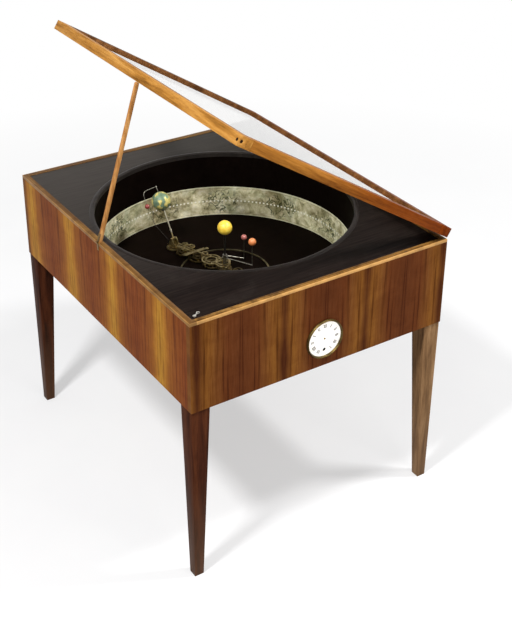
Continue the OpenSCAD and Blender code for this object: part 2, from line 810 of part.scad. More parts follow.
module gear_cradle() {
    around = 20;
    block_w = 14;
    block_t = 4;
    block_y = lay_y - around - block_t - 7;
    color("#b39a5a") translate([0, 0, bottom_top]) difference() {
        translate([lay_x - around - 8, lay_y - around, 0])
            cube([around + 8 - lay_x + around + 2, around - lay_y + around - 2, cradle_t]);
        translate([0, 0, -1]) cylinder(d = post_d, h = cradle_t + 2, $fn = 48);
        translate([lay_x, lay_y, -1]) cylinder(d = arbor_d + 2 * fit, h = cradle_t + 2, $fn = 32);
    }
    color("#b39a5a") translate([0, block_y, bottom_top]) difference() {
        translate([-block_w / 2, 0, 0]) cube([block_w, block_t, drive_z - bottom_top + 5]);
        translate([0, 0, drive_z - bottom_top]) along_y(-1)
            cylinder(d = drive_d + 2 * fit, h = block_t + 2, $fn = 32);
    }
}

module layshaft() {
    high = floor_under + 3.5;
    color("#a8925a") translate([lay_x, lay_y, 0]) {
        translate([0, 0, bottom_top]) cylinder(d = arbor_d, h = high - bottom_top, $fn = 32);
        for (w = [[annual_lay, annual_wheel_z], [venus_lay, venus_wheel_z], [mercury_lay, mercury_wheel_z]])
            translate([0, 0, w[1]]) rotate(lay_az + 180 + 180 / w[0])
                wheel(w[0], train_module, wheel_t, arbor_d - 0.4, 5);
        translate([0, 0, worm_wheel_z])
            wheel(worm_wheel_teeth, train_module, wheel_t, arbor_d - 0.4, 6);
    }
}

module sun_post() {
    color("#26221f") translate([0, 0, bottom_top])
        cylinder(d = post_d, h = floor_z + sun_z - bottom_top, $fn = 48);
}

module sun_ball() {
    color("#f0cf4a") translate([0, 0, floor_z + sun_z]) difference() {
        sphere(d = sun_d, $fn = 72);
        translate([0, 0, -sun_d]) cylinder(d = post_d, h = sun_d, $fn = 48);
    }
}

// A planet's arm: a tube round the sun's rod, a wheel under the floor, a thin arm and an upright wire
module planet_arm(az, tube_d, bore, arm_z, orbit, wheel_z, teeth) {
    arm_d = 2.6;
    difference() {
        union() {
            translate([0, 0, wheel_z])
                cylinder(d = tube_d, h = floor_z + arm_z - wheel_z, $fn = 64);
            translate([0, 0, wheel_z]) rotate(lay_az)
                wheel(teeth, train_module, wheel_t, tube_d - 0.6, tube_d / 2 + 1);
            translate([0, 0, floor_z + arm_z - hub_t])
                cylinder(d = tube_d + 5, h = hub_t, $fn = 64);
            rotate(az) translate([0, 0, floor_z + arm_z - hub_t / 2]) rotate([0, 90, 0])
                cylinder(d = arm_d, h = orbit, $fn = 32);
            rotate(az) translate([orbit, 0, floor_z + arm_z - hub_t / 2]) {
                sphere(d = arm_d, $fn = 32);
                cylinder(d = planet_wire_d, h = planet_z - arm_z + hub_t / 2, $fn = 32);
            }
        }
        translate([0, 0, wheel_z - 1])
            cylinder(d = bore, h = floor_z + arm_z - wheel_z + 2, $fn = 64);
    }
}

module planet_ball(az, orbit, ball_d) {
    rotate(az) translate([orbit, 0, floor_z + planet_z]) difference() {
        sphere(d = ball_d, $fn = 48);
        translate([0, 0, -ball_d]) cylinder(d = planet_wire_d, h = ball_d, $fn = 32);
    }
}

module mercury_arm() {
    color("#a8a294")
        planet_arm(mercury_az, mercury_tube, mercury_bore, mercury_arm_z, mercury_r,
        mercury_wheel_z, mercury_teeth);
}

module mercury_ball() {
    color("#b87068") planet_ball(mercury_az, mercury_r, mercury_d);
}

module venus_arm() {
    color("#b5b0a0")
        planet_arm(venus_az, venus_tube, venus_bore, venus_arm_z, venus_r, venus_wheel_z,
        venus_teeth);
}

module venus_ball() {
    color("#e2915a") planet_ball(venus_az, venus_r, venus_d);
}

module fixed_wheel() {
    bore = annual_tube + 2 * fit;
    high = arm_wheel_z + arm_wheel_t - floor_z;
    color("#7d6d3e") difference() {
        union() {
            translate([0, 0, floor_z]) cylinder(d = bore + 9, h = high + 1, $fn = 64);
            rotate(arm_az) translate([0, 0, arm_wheel_z])
                wheel(sun_teeth, arm_module, arm_wheel_t, bore - 3, bore / 2 + 3);
        }
        translate([0, 0, floor_z - 1]) cylinder(d = bore, h = high + 3, $fn = 64);
    }
}

// Everything on the annual arm is drawn pointing along +X and turned to its direction
module on_arm(r = 0) {
    rotate(arm_az) translate([r, 0, 0]) children();
}

module ring_2d(outer, width) {
    difference() {
        circle(outer, $fn = 72);
        circle(outer - width, $fn = 72);
    }
}

module spokes_2d(r, count, w, turn = 0) {
    for (k = [0 : count - 1]) rotate(turn + k * 360 / count) translate([0, -w / 2]) square([r, w]);
}

// A scroll: a ring cut open at its mouth, with a smaller ring curled inside it
module scroll_2d(r, w, mouth) {
    rotate(mouth) {
        difference() {
            ring_2d(r, w);
            square([2 * r, r * 0.6]);
        }
        translate([0, -r * 0.42]) ring_2d(r * 0.58, w * 0.85);
    }
}

module annual_arm() {
    studs = [first_r, second_r, third_r];
    stud_low = arm_wheel_z - 1.2;
    tube_h = arm_plate_z + arm_plate_t - annual_wheel_z;
    color("#7d6d3e") difference() {
        union() {
            translate([0, 0, annual_wheel_z]) cylinder(d = annual_tube, h = tube_h, $fn = 64);
            translate([0, 0, annual_wheel_z]) rotate(lay_az)
                wheel(annual_teeth, train_module, wheel_t, annual_tube - 0.6, annual_tube / 2 + 2);
            translate([0, 0, arm_plate_z]) on_arm() linear_extrude(arm_plate_t) arm_plate_2d(studs);
            for (r = studs) on_arm(r) translate([0, 0, stud_low]) {
                cylinder(d = stud_d, h = arm_plate_z - stud_low + 0.2, $fn = 32);
                cylinder(d = stud_d + 3, h = 1, $fn = 32);
            }
        }
        translate([0, 0, annual_wheel_z - 1]) cylinder(d = annual_bore, h = tube_h + 2, $fn = 64);
        on_arm(carrier_r) translate([0, 0, arm_plate_z - 1])
            cylinder(d = turret_d + 2 * fit, h = arm_plate_t + 2, $fn = 48);
    }
}

// The arm's lower plate, with a solid disc and a curled hook on its tail
module arm_plate_2d(studs) {
    tail = 40;
    difference() {
        union() {
            circle(20, $fn = 72);
            translate([-tail, -3.5]) square([carrier_r + tail, 7]);
            for (r = studs) translate([r, 0]) circle(17, $fn = 72);
            translate([carrier_r, 0]) circle(11, $fn = 48);
            translate([carrier_r + 8, -2.5]) square([16, 5]);
            translate([-tail, 8]) circle(15, $fn = 60);
        }
        for (r = studs) translate([r, 0]) difference() {
            circle(13.5, $fn = 72);
            circle(5.5, $fn = 32);
            square([30, 7], center = true);
            square([3.6, 30], center = true);
        }
    }
    translate([-tail + 4, -14]) scroll_2d(14, 3.4, 150);
}

// A thin round rod through a list of points, with a small ball at each bend and at its end
module wire(points, d) {
    for (k = [0 : len(points) - 2]) {
        v = points[k + 1] - points[k];
        flat = norm([v[0], v[1]]);
        translate(points[k]) rotate([0, atan2(flat, v[2]), atan2(v[1], v[0])])
            cylinder(d = d, h = norm(v), $fn = 24);
        translate(points[k + 1]) sphere(d = d + 0.4, $fn = 24);
    }
}

// The date pointer: a wire that runs out from the arm and turns up in front of the painted band
module date_pointer() {
    root = [carrier_r + 20, 0, arm_plate_z + arm_plate_t];
    far = [pointer_r * cos(pointer_turn), pointer_r * sin(pointer_turn), 0];
    color("#3a352c") on_arm() {
        translate(root) cylinder(d = 4.4, h = 2, $fn = 32);
        wire([root + [0, 0, 1], root + [0, 0, 12], far + [-10, 1, floor_z + 42], far + [0, 0, floor_z + 52],
            far + [0, 0, floor_z + 86]], pointer_d);
    }
}

module pillar(x, y, high) {
    translate([x, y, arm_plate_z + arm_plate_t]) {
        cylinder(d = 2.8, h = high, $fn = 24);
        translate([0, 0, high * 0.4]) cylinder(d = 4.8, h = 3, $fn = 24);
    }
}

// The openwork over the arm's plate: a hooped cage, a great ring, planks and scrolls on pillars
module arm_gallery() {
    lift = gallery_z - arm_plate_z - arm_plate_t;
    low_z = gallery_z - 7;
    hoop_z = gallery_z + 7;
    hoop = [3, 5];
    great = [first_r - 3, 8];
    plank_a = [second_r + 5, 2];
    plank_b = [second_r + 19, -1];
    plank_w = 9;
    plank_turn = 74;
    hoop_r = 21.5;
    hoop_w = 4.5;
    great_r = 28;
    great_w = 3.4;
    inner_r = 17;
    small = [great[0] + 34, -2];
    small_rise = 3;
    bar_from = great[0] + great_r - great_w;
    bar_w = 4;
    // Each scroll: its place beyond the lower plank, its radius, its width and where its mouth points
    scrolls = [[22, 9, 12, 2.8, 200], [20, -11, 12, 2.8, 20], [44, 8, 10, 2.6, 200],
        [42, -9, 10, 2.6, 20]];
    color("#6b5f3a") on_arm() {
        for (a = [45 : 90 : 315])
            pillar(hoop[0] + (hoop_r - 2.5) * cos(a), hoop[1] + (hoop_r - 2.5) * sin(a),
                lift + 7 + gallery_t);
        translate([hoop[0], hoop[1], hoop_z]) linear_extrude(gallery_t) ring_2d(hoop_r, hoop_w);
        translate([0, 0, gallery_z]) linear_extrude(gallery_t) {
            translate(hoop) ring_2d(hoop_r, hoop_w);
            translate(great) {
                ring_2d(great_r, great_w);
                ring_2d(inner_r, 3);
                difference() {
                    spokes_2d(great_r - 1, 6, 2.8, 15);
                    circle(inner_r - 2, $fn = 48);
                }
            }
            translate([bar_from, -bar_w / 2]) square([carrier_r - 19 - bar_from, bar_w]);
            translate(plank_a) rotate(plank_turn) square([78, plank_w], center = true);
            for (c = scrolls) translate([plank_b[0] + c[0], c[1]]) scroll_2d(c[2], c[3], c[4]);
        }
        translate([0, 0, low_z]) linear_extrude(gallery_t) {
            translate(plank_b) rotate(plank_turn) square([74, plank_w], center = true);
            translate([plank_b[0], -3]) square([42, 6]);
            translate([plank_b[0] + 30, 0]) ring_2d(13, 3);
        }
        translate([small[0], small[1], gallery_z + small_rise]) linear_extrude(gallery_t)
            ring_2d(10, 3);
        translate([small[0] + 8, small[1], gallery_z])
            cylinder(d = 3, h = small_rise + gallery_t, $fn = 24);
        pillar(great[0] + great_r - great_w / 2, great[1], lift + gallery_t);
        pillar(great[0], great[1] + great_r - great_w / 2, lift + gallery_t);
        pillar(plank_b[0], 0, lift + gallery_t);
        pillar(plank_b[0] + 41, 0, lift + gallery_t);
        pillar(great[0] + 44, 0, lift + gallery_t);
    }
}

module idler(r, n, rot) {
    color("#7d6d3e") on_arm(r) translate([0, 0, arm_wheel_z]) rotate(rot)
        wheel(n, arm_module, arm_wheel_t, stud_d + 2 * fit, 5);
}

module on_axis() {
    on_arm(carrier_r) translate([0, 0, floor_z + axis_foot_z])
        rotate([0, globe_tilt, 0]) children();
}

// The globe's carrier keeps its direction while the arm goes round: wheel, turret, cage and slanting stem
module globe_carrier() {
    table_z = arm_plate_z + arm_plate_t + 0.4;
    cage_z = table_z + 2.5;
    stem_from = 2;
    color("#7d6d3e") {
        on_arm(carrier_r) {
            translate([0, 0, arm_wheel_z]) rotate(carrier_rot) linear_extrude(arm_wheel_t)
                gear_2d(sun_teeth, arm_module);
            translate([0, 0, arm_wheel_z])
                cylinder(d = turret_d, h = table_z - arm_wheel_z + 1, $fn = 48);
            translate([0, 0, table_z]) linear_extrude(2.5) {
                ring_2d(14, 4);
                square([24, 6], center = true);
                square([6, 24], center = true);
            }
            for (s = [-1, 1]) {
                translate([0, s * 9, cage_z]) rotate([90, 0, 0]) linear_extrude(2.4, center = true)
                    polygon([[-11, 0], [11, 0], [7, 16], [3, 24], [-3, 24], [-7, 16]]);
            }
            translate([0, 0, cage_z + 20]) linear_extrude(4) square([7, 20], center = true);
        }
        difference() {
            on_axis() translate([0, 0, stem_from]) {
                cylinder(d = stem_d, h = stem_len - globe_r - stem_from - 1, $fn = 32);
                translate([0, 0, 24]) cylinder(d = stem_d + 3, h = 3, $fn = 32);
            }
            on_axis() cylinder(d = spindle_d + 2 * fit, h = stem_len, $fn = 32);
        }
    }
}

module globe() {
    color("#8fa58a") on_axis() translate([0, 0, stem_len]) difference() {
        union() {
            sphere(d = globe_d, $fn = 96);
            translate([0, 0, -globe_r - 0.7]) cylinder(d = 9, h = 3, $fn = 32);
        }
        cylinder(d = spindle_d + 2 * fit, h = globe_d + 4, center = true, $fn = 32);
    }
}

module moon_arm() {
    bend = 14;
    foot = 10;
    color("#a8a294") {
        on_axis() translate([0, 0, foot])
            cylinder(d = spindle_d, h = stem_len + knob_up - foot, $fn = 32);
        on_axis() translate([0, 0, stem_len + knob_up]) {
            sphere(d = 4.4, $fn = 32);
            rotate(moon_az) {
                rotate([0, 90, 0]) cylinder(d = moon_wire_d, h = moon_r - bend, $fn = 24);
                translate([moon_r - bend, 0, -bend]) rotate([90, 0, 0])
                    rotate_extrude(angle = 90, $fn = 64)
                    translate([bend, 0]) circle(d = moon_wire_d, $fn = 24);
                translate([moon_r, 0, -knob_up])
                    cylinder(d = moon_wire_d, h = knob_up - bend, $fn = 24);
            }
        }
    }
}

module moon_ball() {
    color("#a03a2c") on_axis() translate([0, 0, stem_len]) rotate(moon_az)
        translate([moon_r, 0, 0]) difference() {
        sphere(d = moon_d, $fn = 40);
        cylinder(d = moon_wire_d, h = moon_d, $fn = 24);
    }
}

leg(-1, -1);  // leg_front_left
leg(1, -1);  // leg_front_right
leg(-1, 1);  // leg_back_left
leg(1, 1);  // leg_back_right
front_board();
back_board();
side_board(-1);  // left_board
side_board(1);  // right_board
rim_strips();
top_board();
bottom_board();
floor_rails();
well_wall();
well_floor();
well_bead();
zodiac_band();
floor_ring();
case_hinge_leaves();
hinge_pins();
lid_hinge_leaves();
lid_side_rail(lid_left);  // lid_left_rail
lid_side_rail(lid_right - rail_w);  // lid_right_rail
lid_end_rail(-lid_half_d);  // lid_front_rail
lid_end_rail(lid_half_d - rail_w);  // lid_back_rail
lid_glass();
glass_beads();
corner_plugs();
catch_peg();
catch_hook();
prop_case_leaf();
prop_pin();
prop_leaf();
lid_prop();
dial();
dial_bezel();
movement_plates();
spring_barrel();
winding_arbor();
centre_arbor();
escape_arbor();
drive_shaft();
gear_cradle();
layshaft();
sun_post();
sun_ball();
mercury_arm();
mercury_ball();
venus_arm();
venus_ball();
fixed_wheel();
annual_arm();
arm_gallery();
date_pointer();
idler(first_r, idler_teeth[0], idler_rot_1);  // first_idler
idler(second_r, idler_teeth[1], idler_rot_2);  // second_idler
idler(third_r, idler_teeth[2], idler_rot_3);  // third_idler
globe_carrier();
globe();
moon_arm();
moon_ball();
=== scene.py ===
# %% [markdown]
# # An orrery clock in a veneered table
# The object is a table with a round well sunk in its black top. A small brass orrery turns on the
# well's floor, inside a painted band, and a glazed lid on a wooden prop covers it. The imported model
# gives every part its place, so this lesson only dresses it: camera, light, finishes and fine pieces.

# %% Load the frame and keep its box
import json
import math

import bmesh
import bpy
from mathutils import Matrix, Vector


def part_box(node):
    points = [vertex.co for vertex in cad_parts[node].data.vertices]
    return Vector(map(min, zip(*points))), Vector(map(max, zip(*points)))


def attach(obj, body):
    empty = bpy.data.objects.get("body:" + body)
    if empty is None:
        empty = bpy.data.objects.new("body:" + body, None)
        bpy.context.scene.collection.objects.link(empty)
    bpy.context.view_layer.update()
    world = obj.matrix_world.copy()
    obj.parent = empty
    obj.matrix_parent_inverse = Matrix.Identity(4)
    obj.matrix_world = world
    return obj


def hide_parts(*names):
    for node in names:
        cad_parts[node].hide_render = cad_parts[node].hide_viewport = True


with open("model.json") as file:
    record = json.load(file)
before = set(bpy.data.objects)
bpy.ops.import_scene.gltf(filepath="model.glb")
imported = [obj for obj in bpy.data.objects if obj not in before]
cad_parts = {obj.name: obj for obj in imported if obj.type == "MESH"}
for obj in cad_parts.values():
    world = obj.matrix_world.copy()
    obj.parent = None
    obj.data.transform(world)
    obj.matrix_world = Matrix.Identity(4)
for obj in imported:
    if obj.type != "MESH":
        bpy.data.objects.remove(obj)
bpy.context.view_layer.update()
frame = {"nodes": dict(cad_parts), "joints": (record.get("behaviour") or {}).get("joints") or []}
print("nodes in the frame:", len(frame["nodes"]))

# %% [markdown]
# Everything below is placed from the frame's own boxes and joints, so a change of size in the model
# carries through. The rim's box gives the table's plan, and the joints give the axes that the parts
# turn on.

# %% Sizes read from the frame
MM = 0.001
rim_low, rim_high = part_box("rim_strips")
half_w = rim_high[0]
half_d = rim_high[1]
joints = {joint["name"]: joint for joint in frame["joints"]}
print("case", round(2 * half_w, 4), "by", round(2 * half_d, 4), "rim at", round(rim_high[2], 4))

# %% [markdown]
# The camera stands where the photograph was taken from: to the left of the front, above the rim. A
# small shift of the lens keeps the legs near upright, as a view camera does. The focal length and the
# shift were fitted in pixels of the photograph, so they are turned into the lens's own measures here.

# %% Camera
IMAGE_H = 642
SENSOR_MM = 36
FOCAL_PX = 1215.2
EYE = Vector((-1.5725, -2.5607, 2.2877))
EYE_AZ = math.radians(-33.609)
EYE_EL = math.radians(27.559)
EYE_ROLL = 0.0111
SHIFT_X_PX = 7.4
SHIFT_Y_PX = -96.0

back = Vector((math.sin(EYE_AZ) * math.cos(EYE_EL), -math.cos(EYE_AZ) * math.cos(EYE_EL),
               math.sin(EYE_EL)))
level = Vector((math.cos(EYE_AZ), math.sin(EYE_AZ), 0))
upward = back.cross(level)
right = level * math.cos(EYE_ROLL) + upward * math.sin(EYE_ROLL)
view = Matrix((right, back.cross(right), back)).transposed().to_4x4()
view.translation = EYE
lens = bpy.data.cameras.new("view_camera")
lens.sensor_fit = "VERTICAL"
lens.sensor_height = SENSOR_MM
lens.lens = FOCAL_PX * SENSOR_MM / IMAGE_H
lens.shift_x = -SHIFT_X_PX / IMAGE_H
lens.shift_y = SHIFT_Y_PX / IMAGE_H
lens.clip_start = 0.05
camera = bpy.data.objects.new("view_camera", lens)
camera.matrix_world = view
bpy.context.scene.collection.objects.link(camera)
bpy.context.scene.camera = camera
print("lens", round(lens.lens, 1), "mm")

# %% [markdown]
# A finish is a chain of nodes. One small function adds a node with its settings, its colour stops and
# its inputs, so a line of code reads like the node in the editor. Another turns the hex colours of a
# paint chart into the linear light that the shader works in.

# %% Colours and nodes
def tone(code):
    """A hex colour as linear red, green, blue and full alpha."""
    parts = [int(code[i:i + 2], 16) / 255 for i in (1, 3, 5)]
    return [c / 12.92 if c <= 0.04045 else ((c + 0.055) / 1.055) ** 2.4 for c in parts] + [1.0]


def feed(made, inputs):
    """Gives inputs their values, or joins them to a socket or to a node's first live output."""
    for key, value in inputs.items():
        live = [socket for socket in made.inputs if socket.enabled and socket.name == key]
        socket = live[0] if live else made.inputs[key]
        if isinstance(value, bpy.types.Node):
            value = next(output for output in value.outputs if output.enabled)
        if isinstance(value, bpy.types.NodeSocket):
            made.id_data.links.new(value, socket)
        else:
            socket.default_value = value


def node(tree, kind, inputs=None, stops=(), **settings):
    """Adds a node with its settings, its colour stops if it is a ramp, and its inputs."""
    made = tree.nodes.new("ShaderNode" + kind)
    for name, value in settings.items():
        setattr(made, name, value)
    if stops:
        marks = made.color_ramp.elements
        while len(marks) < len(stops):
            marks.new(0.5)
        for mark, (place, code) in zip(marks, stops):
            mark.position = place
            mark.color = tone(code)
    feed(made, inputs or {})
    return made


print("paper grey #dedede is", round(tone("#dedede")[0], 3), "in linear light")

# %% [markdown]
# The photograph was made on a white sweep, with soft shadows. The white of the backdrop is meant for
# the camera, for reflections and for what is seen through glass. All other rays meet a weaker grey,
# which is the fill light. A world that is white to all rays would be simpler, but it would fill the
# shadows.

# %% White studio
WHITE = tone("#ffffff")
FILL = 0.47


def seen_share(tree):
    """1 for rays from the camera, from a gloss or through glass, and 0 for rays that carry light."""
    rays = node(tree, "LightPath").outputs
    seen = node(tree, "Math", {0: rays["Is Camera Ray"], 1: rays["Is Glossy Ray"]}, operation="MAXIMUM")
    return node(tree, "Math", {0: seen, 1: rays["Is Transmission Ray"]}, operation="MAXIMUM")


scene = bpy.context.scene
scene.view_settings.view_transform = "Standard"
world = bpy.data.worlds.new("white_studio")
world.use_nodes = True
scene.world = world
sky = world.node_tree
sky.nodes.clear()
soft_fill = node(sky, "Background", {"Color": tone("#f4f4f6"), "Strength": FILL})
white_back = node(sky, "Background", {"Color": WHITE, "Strength": 1.0})
chosen = node(sky, "MixShader", {0: seen_share(sky), 1: soft_fill, 2: white_back})
node(sky, "OutputWorld", {"Surface": chosen})
print("fill light", FILL)

# %% [markdown]
# Three soft boxes light the table: one high on the left, a weaker one high on the right, and a broad,
# weak one in front that opens up the front board. The two high ones are the smaller, because they draw
# the edges of the shadows on the floor.

# %% Soft boxes
LAMP_AIM = Vector((0, 0, 0.6))
SOFTBOXES = [
    # name, place in metres, width and height in metres, power in watts
    ("key_softbox", (-2.3, -1.0, 4.1), 0.5, 0.5, 192),
    ("right_softbox", (2.1, -1.5, 4.1), 0.5, 0.5, 130),
    ("front_softbox", (0.4, -4.0, 1.7), 2.2, 1.6, 66),
]
for name, where, width, height, power in SOFTBOXES:
    light = bpy.data.lights.new(name, "AREA")
    light.shape = "RECTANGLE"
    light.size = width
    light.size_y = height
    light.energy = power
    lamp = bpy.data.objects.new(name, light)
    lamp.location = where
    lamp.rotation_euler = (LAMP_AIM - Vector(where)).to_track_quat("-Z", "Y").to_euler()
    scene.collection.objects.link(lamp)
    print(name, power, "W")

# %% [markdown]
# The floor is matt paper. Close to the table a little more than half of what is seen is its own lit
# grey, with the shadows on it, and farther out it goes over into the backdrop's white, again only for
# the rays that are seen. The size of a pattern is given in millimetres of the real thing and turned
# into cells to the metre.

# %% Paper floor
FLOOR_REACH_M = 9
SHADOW_ENDS_M = 1.1
WHITE_FROM_M = 2.8
WHITE_NEAR = 0.45


def finish_named(name, metallic=0.0, roughness=0.5, **sockets):
    """A new material, its tree, its shader with the plain numbers set, and Object coordinates."""
    made = bpy.data.materials.new(name)
    made.use_nodes = True
    shader = made.node_tree.nodes["Principled BSDF"]
    shader.inputs["Metallic"].default_value = metallic
    shader.inputs["Roughness"].default_value = roughness
    for key, value in sockets.items():
        shader.inputs[key.replace("_", " ")].default_value = value
    return made, made.node_tree, shader, node(made.node_tree, "TexCoord").outputs["Object"]


def cells(size_mm):
    """Cells to the metre, for a pattern whose cells have this size in millimetres."""
    return 1000 / size_mm


# Clean matt paper that shows nothing but the table's soft shadows; its clouds are a third of a metre
paper, tree, shader, where = finish_named("white_paper_sweep", roughness=0.9, Specular_IOR_Level=0.1)
pulp = node(tree, "TexNoise", {"Vector": where, "Scale": cells(333.3), "Detail": 4.0})
feed(shader, {"Base Color": node(tree, "ValToRGB", {"Fac": pulp},
                                [(0.3, "#d9d9da"), (0.7, "#dedede")])})
paper_white = node(tree, "Emission", {"Color": WHITE, "Strength": 1.0})
far = node(tree, "VectorMath", {0: where}, operation="LENGTH")
white_share = node(tree, "MapRange", {"Value": far, "From Min": SHADOW_ENDS_M, "From Max": WHITE_FROM_M,
                                      "To Min": WHITE_NEAR, "To Max": 1.0})
shown = node(tree, "Math", {0: seen_share(tree), 1: white_share}, operation="MULTIPLY")
paper_mix = node(tree, "MixShader", {0: shown, 1: shader, 2: paper_white})
feed(tree.nodes["Material Output"], {"Surface": paper_mix})
sweep_shape = bmesh.new()
bmesh.ops.create_grid(sweep_shape, x_segments=2, y_segments=2, size=FLOOR_REACH_M)
sweep = bpy.data.meshes.new("floor_sweep")
sweep_shape.to_mesh(sweep)
sweep_shape.free()
floor = bpy.data.objects.new("floor_sweep", sweep)
sweep.materials.append(paper)
scene.collection.objects.link(floor)
print("the floor is white from", WHITE_FROM_M, "m on")

# %% [markdown]
# Every finish is laid on in coats: a row of colours over a noise, and then thin coats that darken what
# is under them. A few recipes join the nodes for that. A Mix node that multiplies works as a glaze
# does, because it can only make a colour darker, and one that mixes lays on a body colour.

# %% Coats of colour
OVER = {"data_type": "RGBA", "blend_type": "MIX"}
GLAZE = {"data_type": "RGBA", "blend_type": "MULTIPLY"}


def grain_place(tree, where, cell_mm, turn=(0, 0, 0)):
    """Coordinates turned to the grain and counted in cells, of a size in millimetres for each axis."""
    turned = node(tree, "Mapping", {"Vector": where, "Rotation": turn})
    return node(tree, "Mapping", {"Vector": turned, "Scale": [cells(size) for size in cell_mm]})


def mottled(tree, where, scale, stops, detail=4.0, rough=0.5, lean=0.0):
    """Noise in a row of colours; the scale is 1 where the place is counted in cells already."""
    noise = node(tree, "TexNoise", {"Vector": where, "Scale": scale, "Detail": detail,
                                    "Roughness": rough, "Distortion": lean})
    return node(tree, "ValToRGB", {"Fac": noise}, stops)


def worn_surface(tree, shader, wear, reach, least, relief, depth_mm):
    """Roughness that follows one noise, and relief of a depth in millimetres from another."""
    gloss = node(tree, "Math", {0: wear, 1: reach, 2: least}, operation="MULTIPLY_ADD")
    bump = node(tree, "Bump", {"Strength": 1.0, "Distance": depth_mm * MM, "Height": relief})
    feed(shader, {"Roughness": gloss, "Normal": bump})


def dress(names, material):
    """Gives CAD nodes a material in every slot they have."""
    for name in names:
        for slot in frame["nodes"][name].material_slots:
            slot.material = material
    print(material.name, "on", ", ".join(names))


print("a glaze of #b09078 leaves", round(tone("#b09078")[0], 2), "of the red under it")

# %% [markdown]
# The case is faced with plum-red cherry veneer, its grain upright. Neighbouring leaves are opened like
# a book, so each joint has the same figure on both sides. A ping-pong of the distance along the face
# folds it at the joints, and a ramp over the folded distance lays sapwood gold and heartwood brown
# where the real leaves have them. Noise that is squeezed sideways draws the fine grain over it.

# %% Cherry veneer on the case
LEAF_M = 0.1265
WAVER_M = 0.05
# Real varnish mirrors more than this, but the white room would then wash the dark colours out
DULL = 0.015
# Cherry's pores are a tenth of a millimetre, too fine to show, so they are drawn as coarse as this
PORE_MM = 1.667
STREAK_MM = 9.091
# Figure along the height is drawn out this much, and each face is this far apart in the noise
DRAWN_OUT = 0.03
FACE_APART = 9


def veneer(name, axis, joint, figure_stops, gloss):
    """Book-matched veneer; axis is the face's own direction and joint is where one joint lies on it."""
    made, tree, shader, where = finish_named(name, roughness=gloss, Specular_IOR_Level=DULL)
    split = node(tree, "SeparateXYZ", {"Vector": where})
    waver = grain_place(tree, where, (333.3, 333.3, 208.3))
    drift = node(tree, "TexNoise", {"Vector": waver, "Scale": 1.0, "Detail": 2.0})
    along = node(tree, "Math", {0: split.outputs[axis], 1: joint}, operation="SUBTRACT")
    folded = node(tree, "Math", {0: along, 1: LEAF_M}, operation="PINGPONG")
    swing = node(tree, "Math", {0: drift, 1: 0.5}, operation="SUBTRACT")
    bent = node(tree, "Math", {0: swing, 1: WAVER_M, 2: folded}, operation="MULTIPLY_ADD")
    in_leaf = node(tree, "Math", {0: bent, 1: LEAF_M}, operation="DIVIDE")
    colour = node(tree, "ValToRGB", {"Fac": in_leaf}, figure_stops)

    low = node(tree, "Math", {0: split.outputs["Z"], 1: DRAWN_OUT}, operation="MULTIPLY")
    pore_place = node(tree, "CombineXYZ", {"X": along, "Y": joint * FACE_APART, "Z": low})
    streak_place = node(tree, "CombineXYZ", {"X": folded, "Y": joint * FACE_APART, "Z": low})
    fine = node(tree, "TexNoise", {"Vector": pore_place, "Scale": cells(PORE_MM), "Detail": 4.0,
                                   "Roughness": 0.6})
    pores = node(tree, "ValToRGB", {"Fac": fine}, [(0.3, "#a88f7c"), (0.6, "#ffffff")])
    streaks = mottled(tree, streak_place, cells(STREAK_MM),
                      [(0.32, "#8d6a52"), (0.47, "#efe2d6"), (0.7, "#ffffff")], 4.0, 0.6)
    shimmer = mottled(tree, grain_place(tree, where, (76.92, 76.92, 50)), 1.0,
                      [(0.36, "#b09078"), (0.6, "#ffffff")], 5.0, 0.6, 0.6)
    for share, glaze in ((0.45, pores), (0.75, streaks), (0.28, shimmer)):
        colour = node(tree, "Mix", {"Factor": share, "A": colour, "B": glaze}, **GLAZE)
    feed(shader, {"Base Color": colour})
    wear = node(tree, "TexNoise", {"Vector": where, "Scale": cells(111.1), "Detail": 5.0,
                                   "Roughness": 0.6})
    worn_surface(tree, shader, wear, 0.2, gloss - 0.1, fine, 0.08)
    return made


# The side's stops are lighter than the front's: partly the leaves' own colour, partly painted light and
# shade of the two faces
SIDE_STOPS_PAINTED_LIGHTER = [(0.0, "#96691f"), (0.05, "#b38730"), (0.17, "#a57327"), (0.33, "#8c571e"),
              (0.60, "#81491a"), (1.0, "#773e16")]
FRONT_STOPS_PAINTED_DARKER = [(0.0, "#43220e"), (0.07, "#5d3818"), (0.18, "#774e20"), (0.40, "#6b431f"),
               (0.60, "#5d3419"), (1.0, "#532d16")]
# Dark plum-brown leaves with narrow golden streaks give the front its quiet vertical rhythm;
# their darkness is partly the wood's own, partly painted shade on the front
cherry_front = veneer("french_polished_cherry_veneer_front", 0, 0.13, FRONT_STOPS_PAINTED_DARKER, 0.34)
# Warm red-brown with broad soft gold bands makes the lit side glow; its lighter stops are partly
# painted light on that side
cherry_side = veneer("french_polished_cherry_veneer_side", 1, -0.08, SIDE_STOPS_PAINTED_LIGHTER, 0.34)
dress(["front_board", "back_board"], cherry_front)
dress(["left_board", "right_board"], cherry_side)
print("veneer leaves are", LEAF_M * 1000, "mm wide")

# %% [markdown]
# Solid wood is cut along the grain, so its figure is long streaks in one direction. The lid's rails,
# the prop and the legs share one recipe: noise that is squeezed across the grain and drawn out along
# it, in colours of its own. The lid's grain is turned by the lid's own angle.

# %% Recipe for solid wood
# Pores are too fine to show, so only this many lines are drawn in the width of a streak
PORES_A_STREAK = 7.0


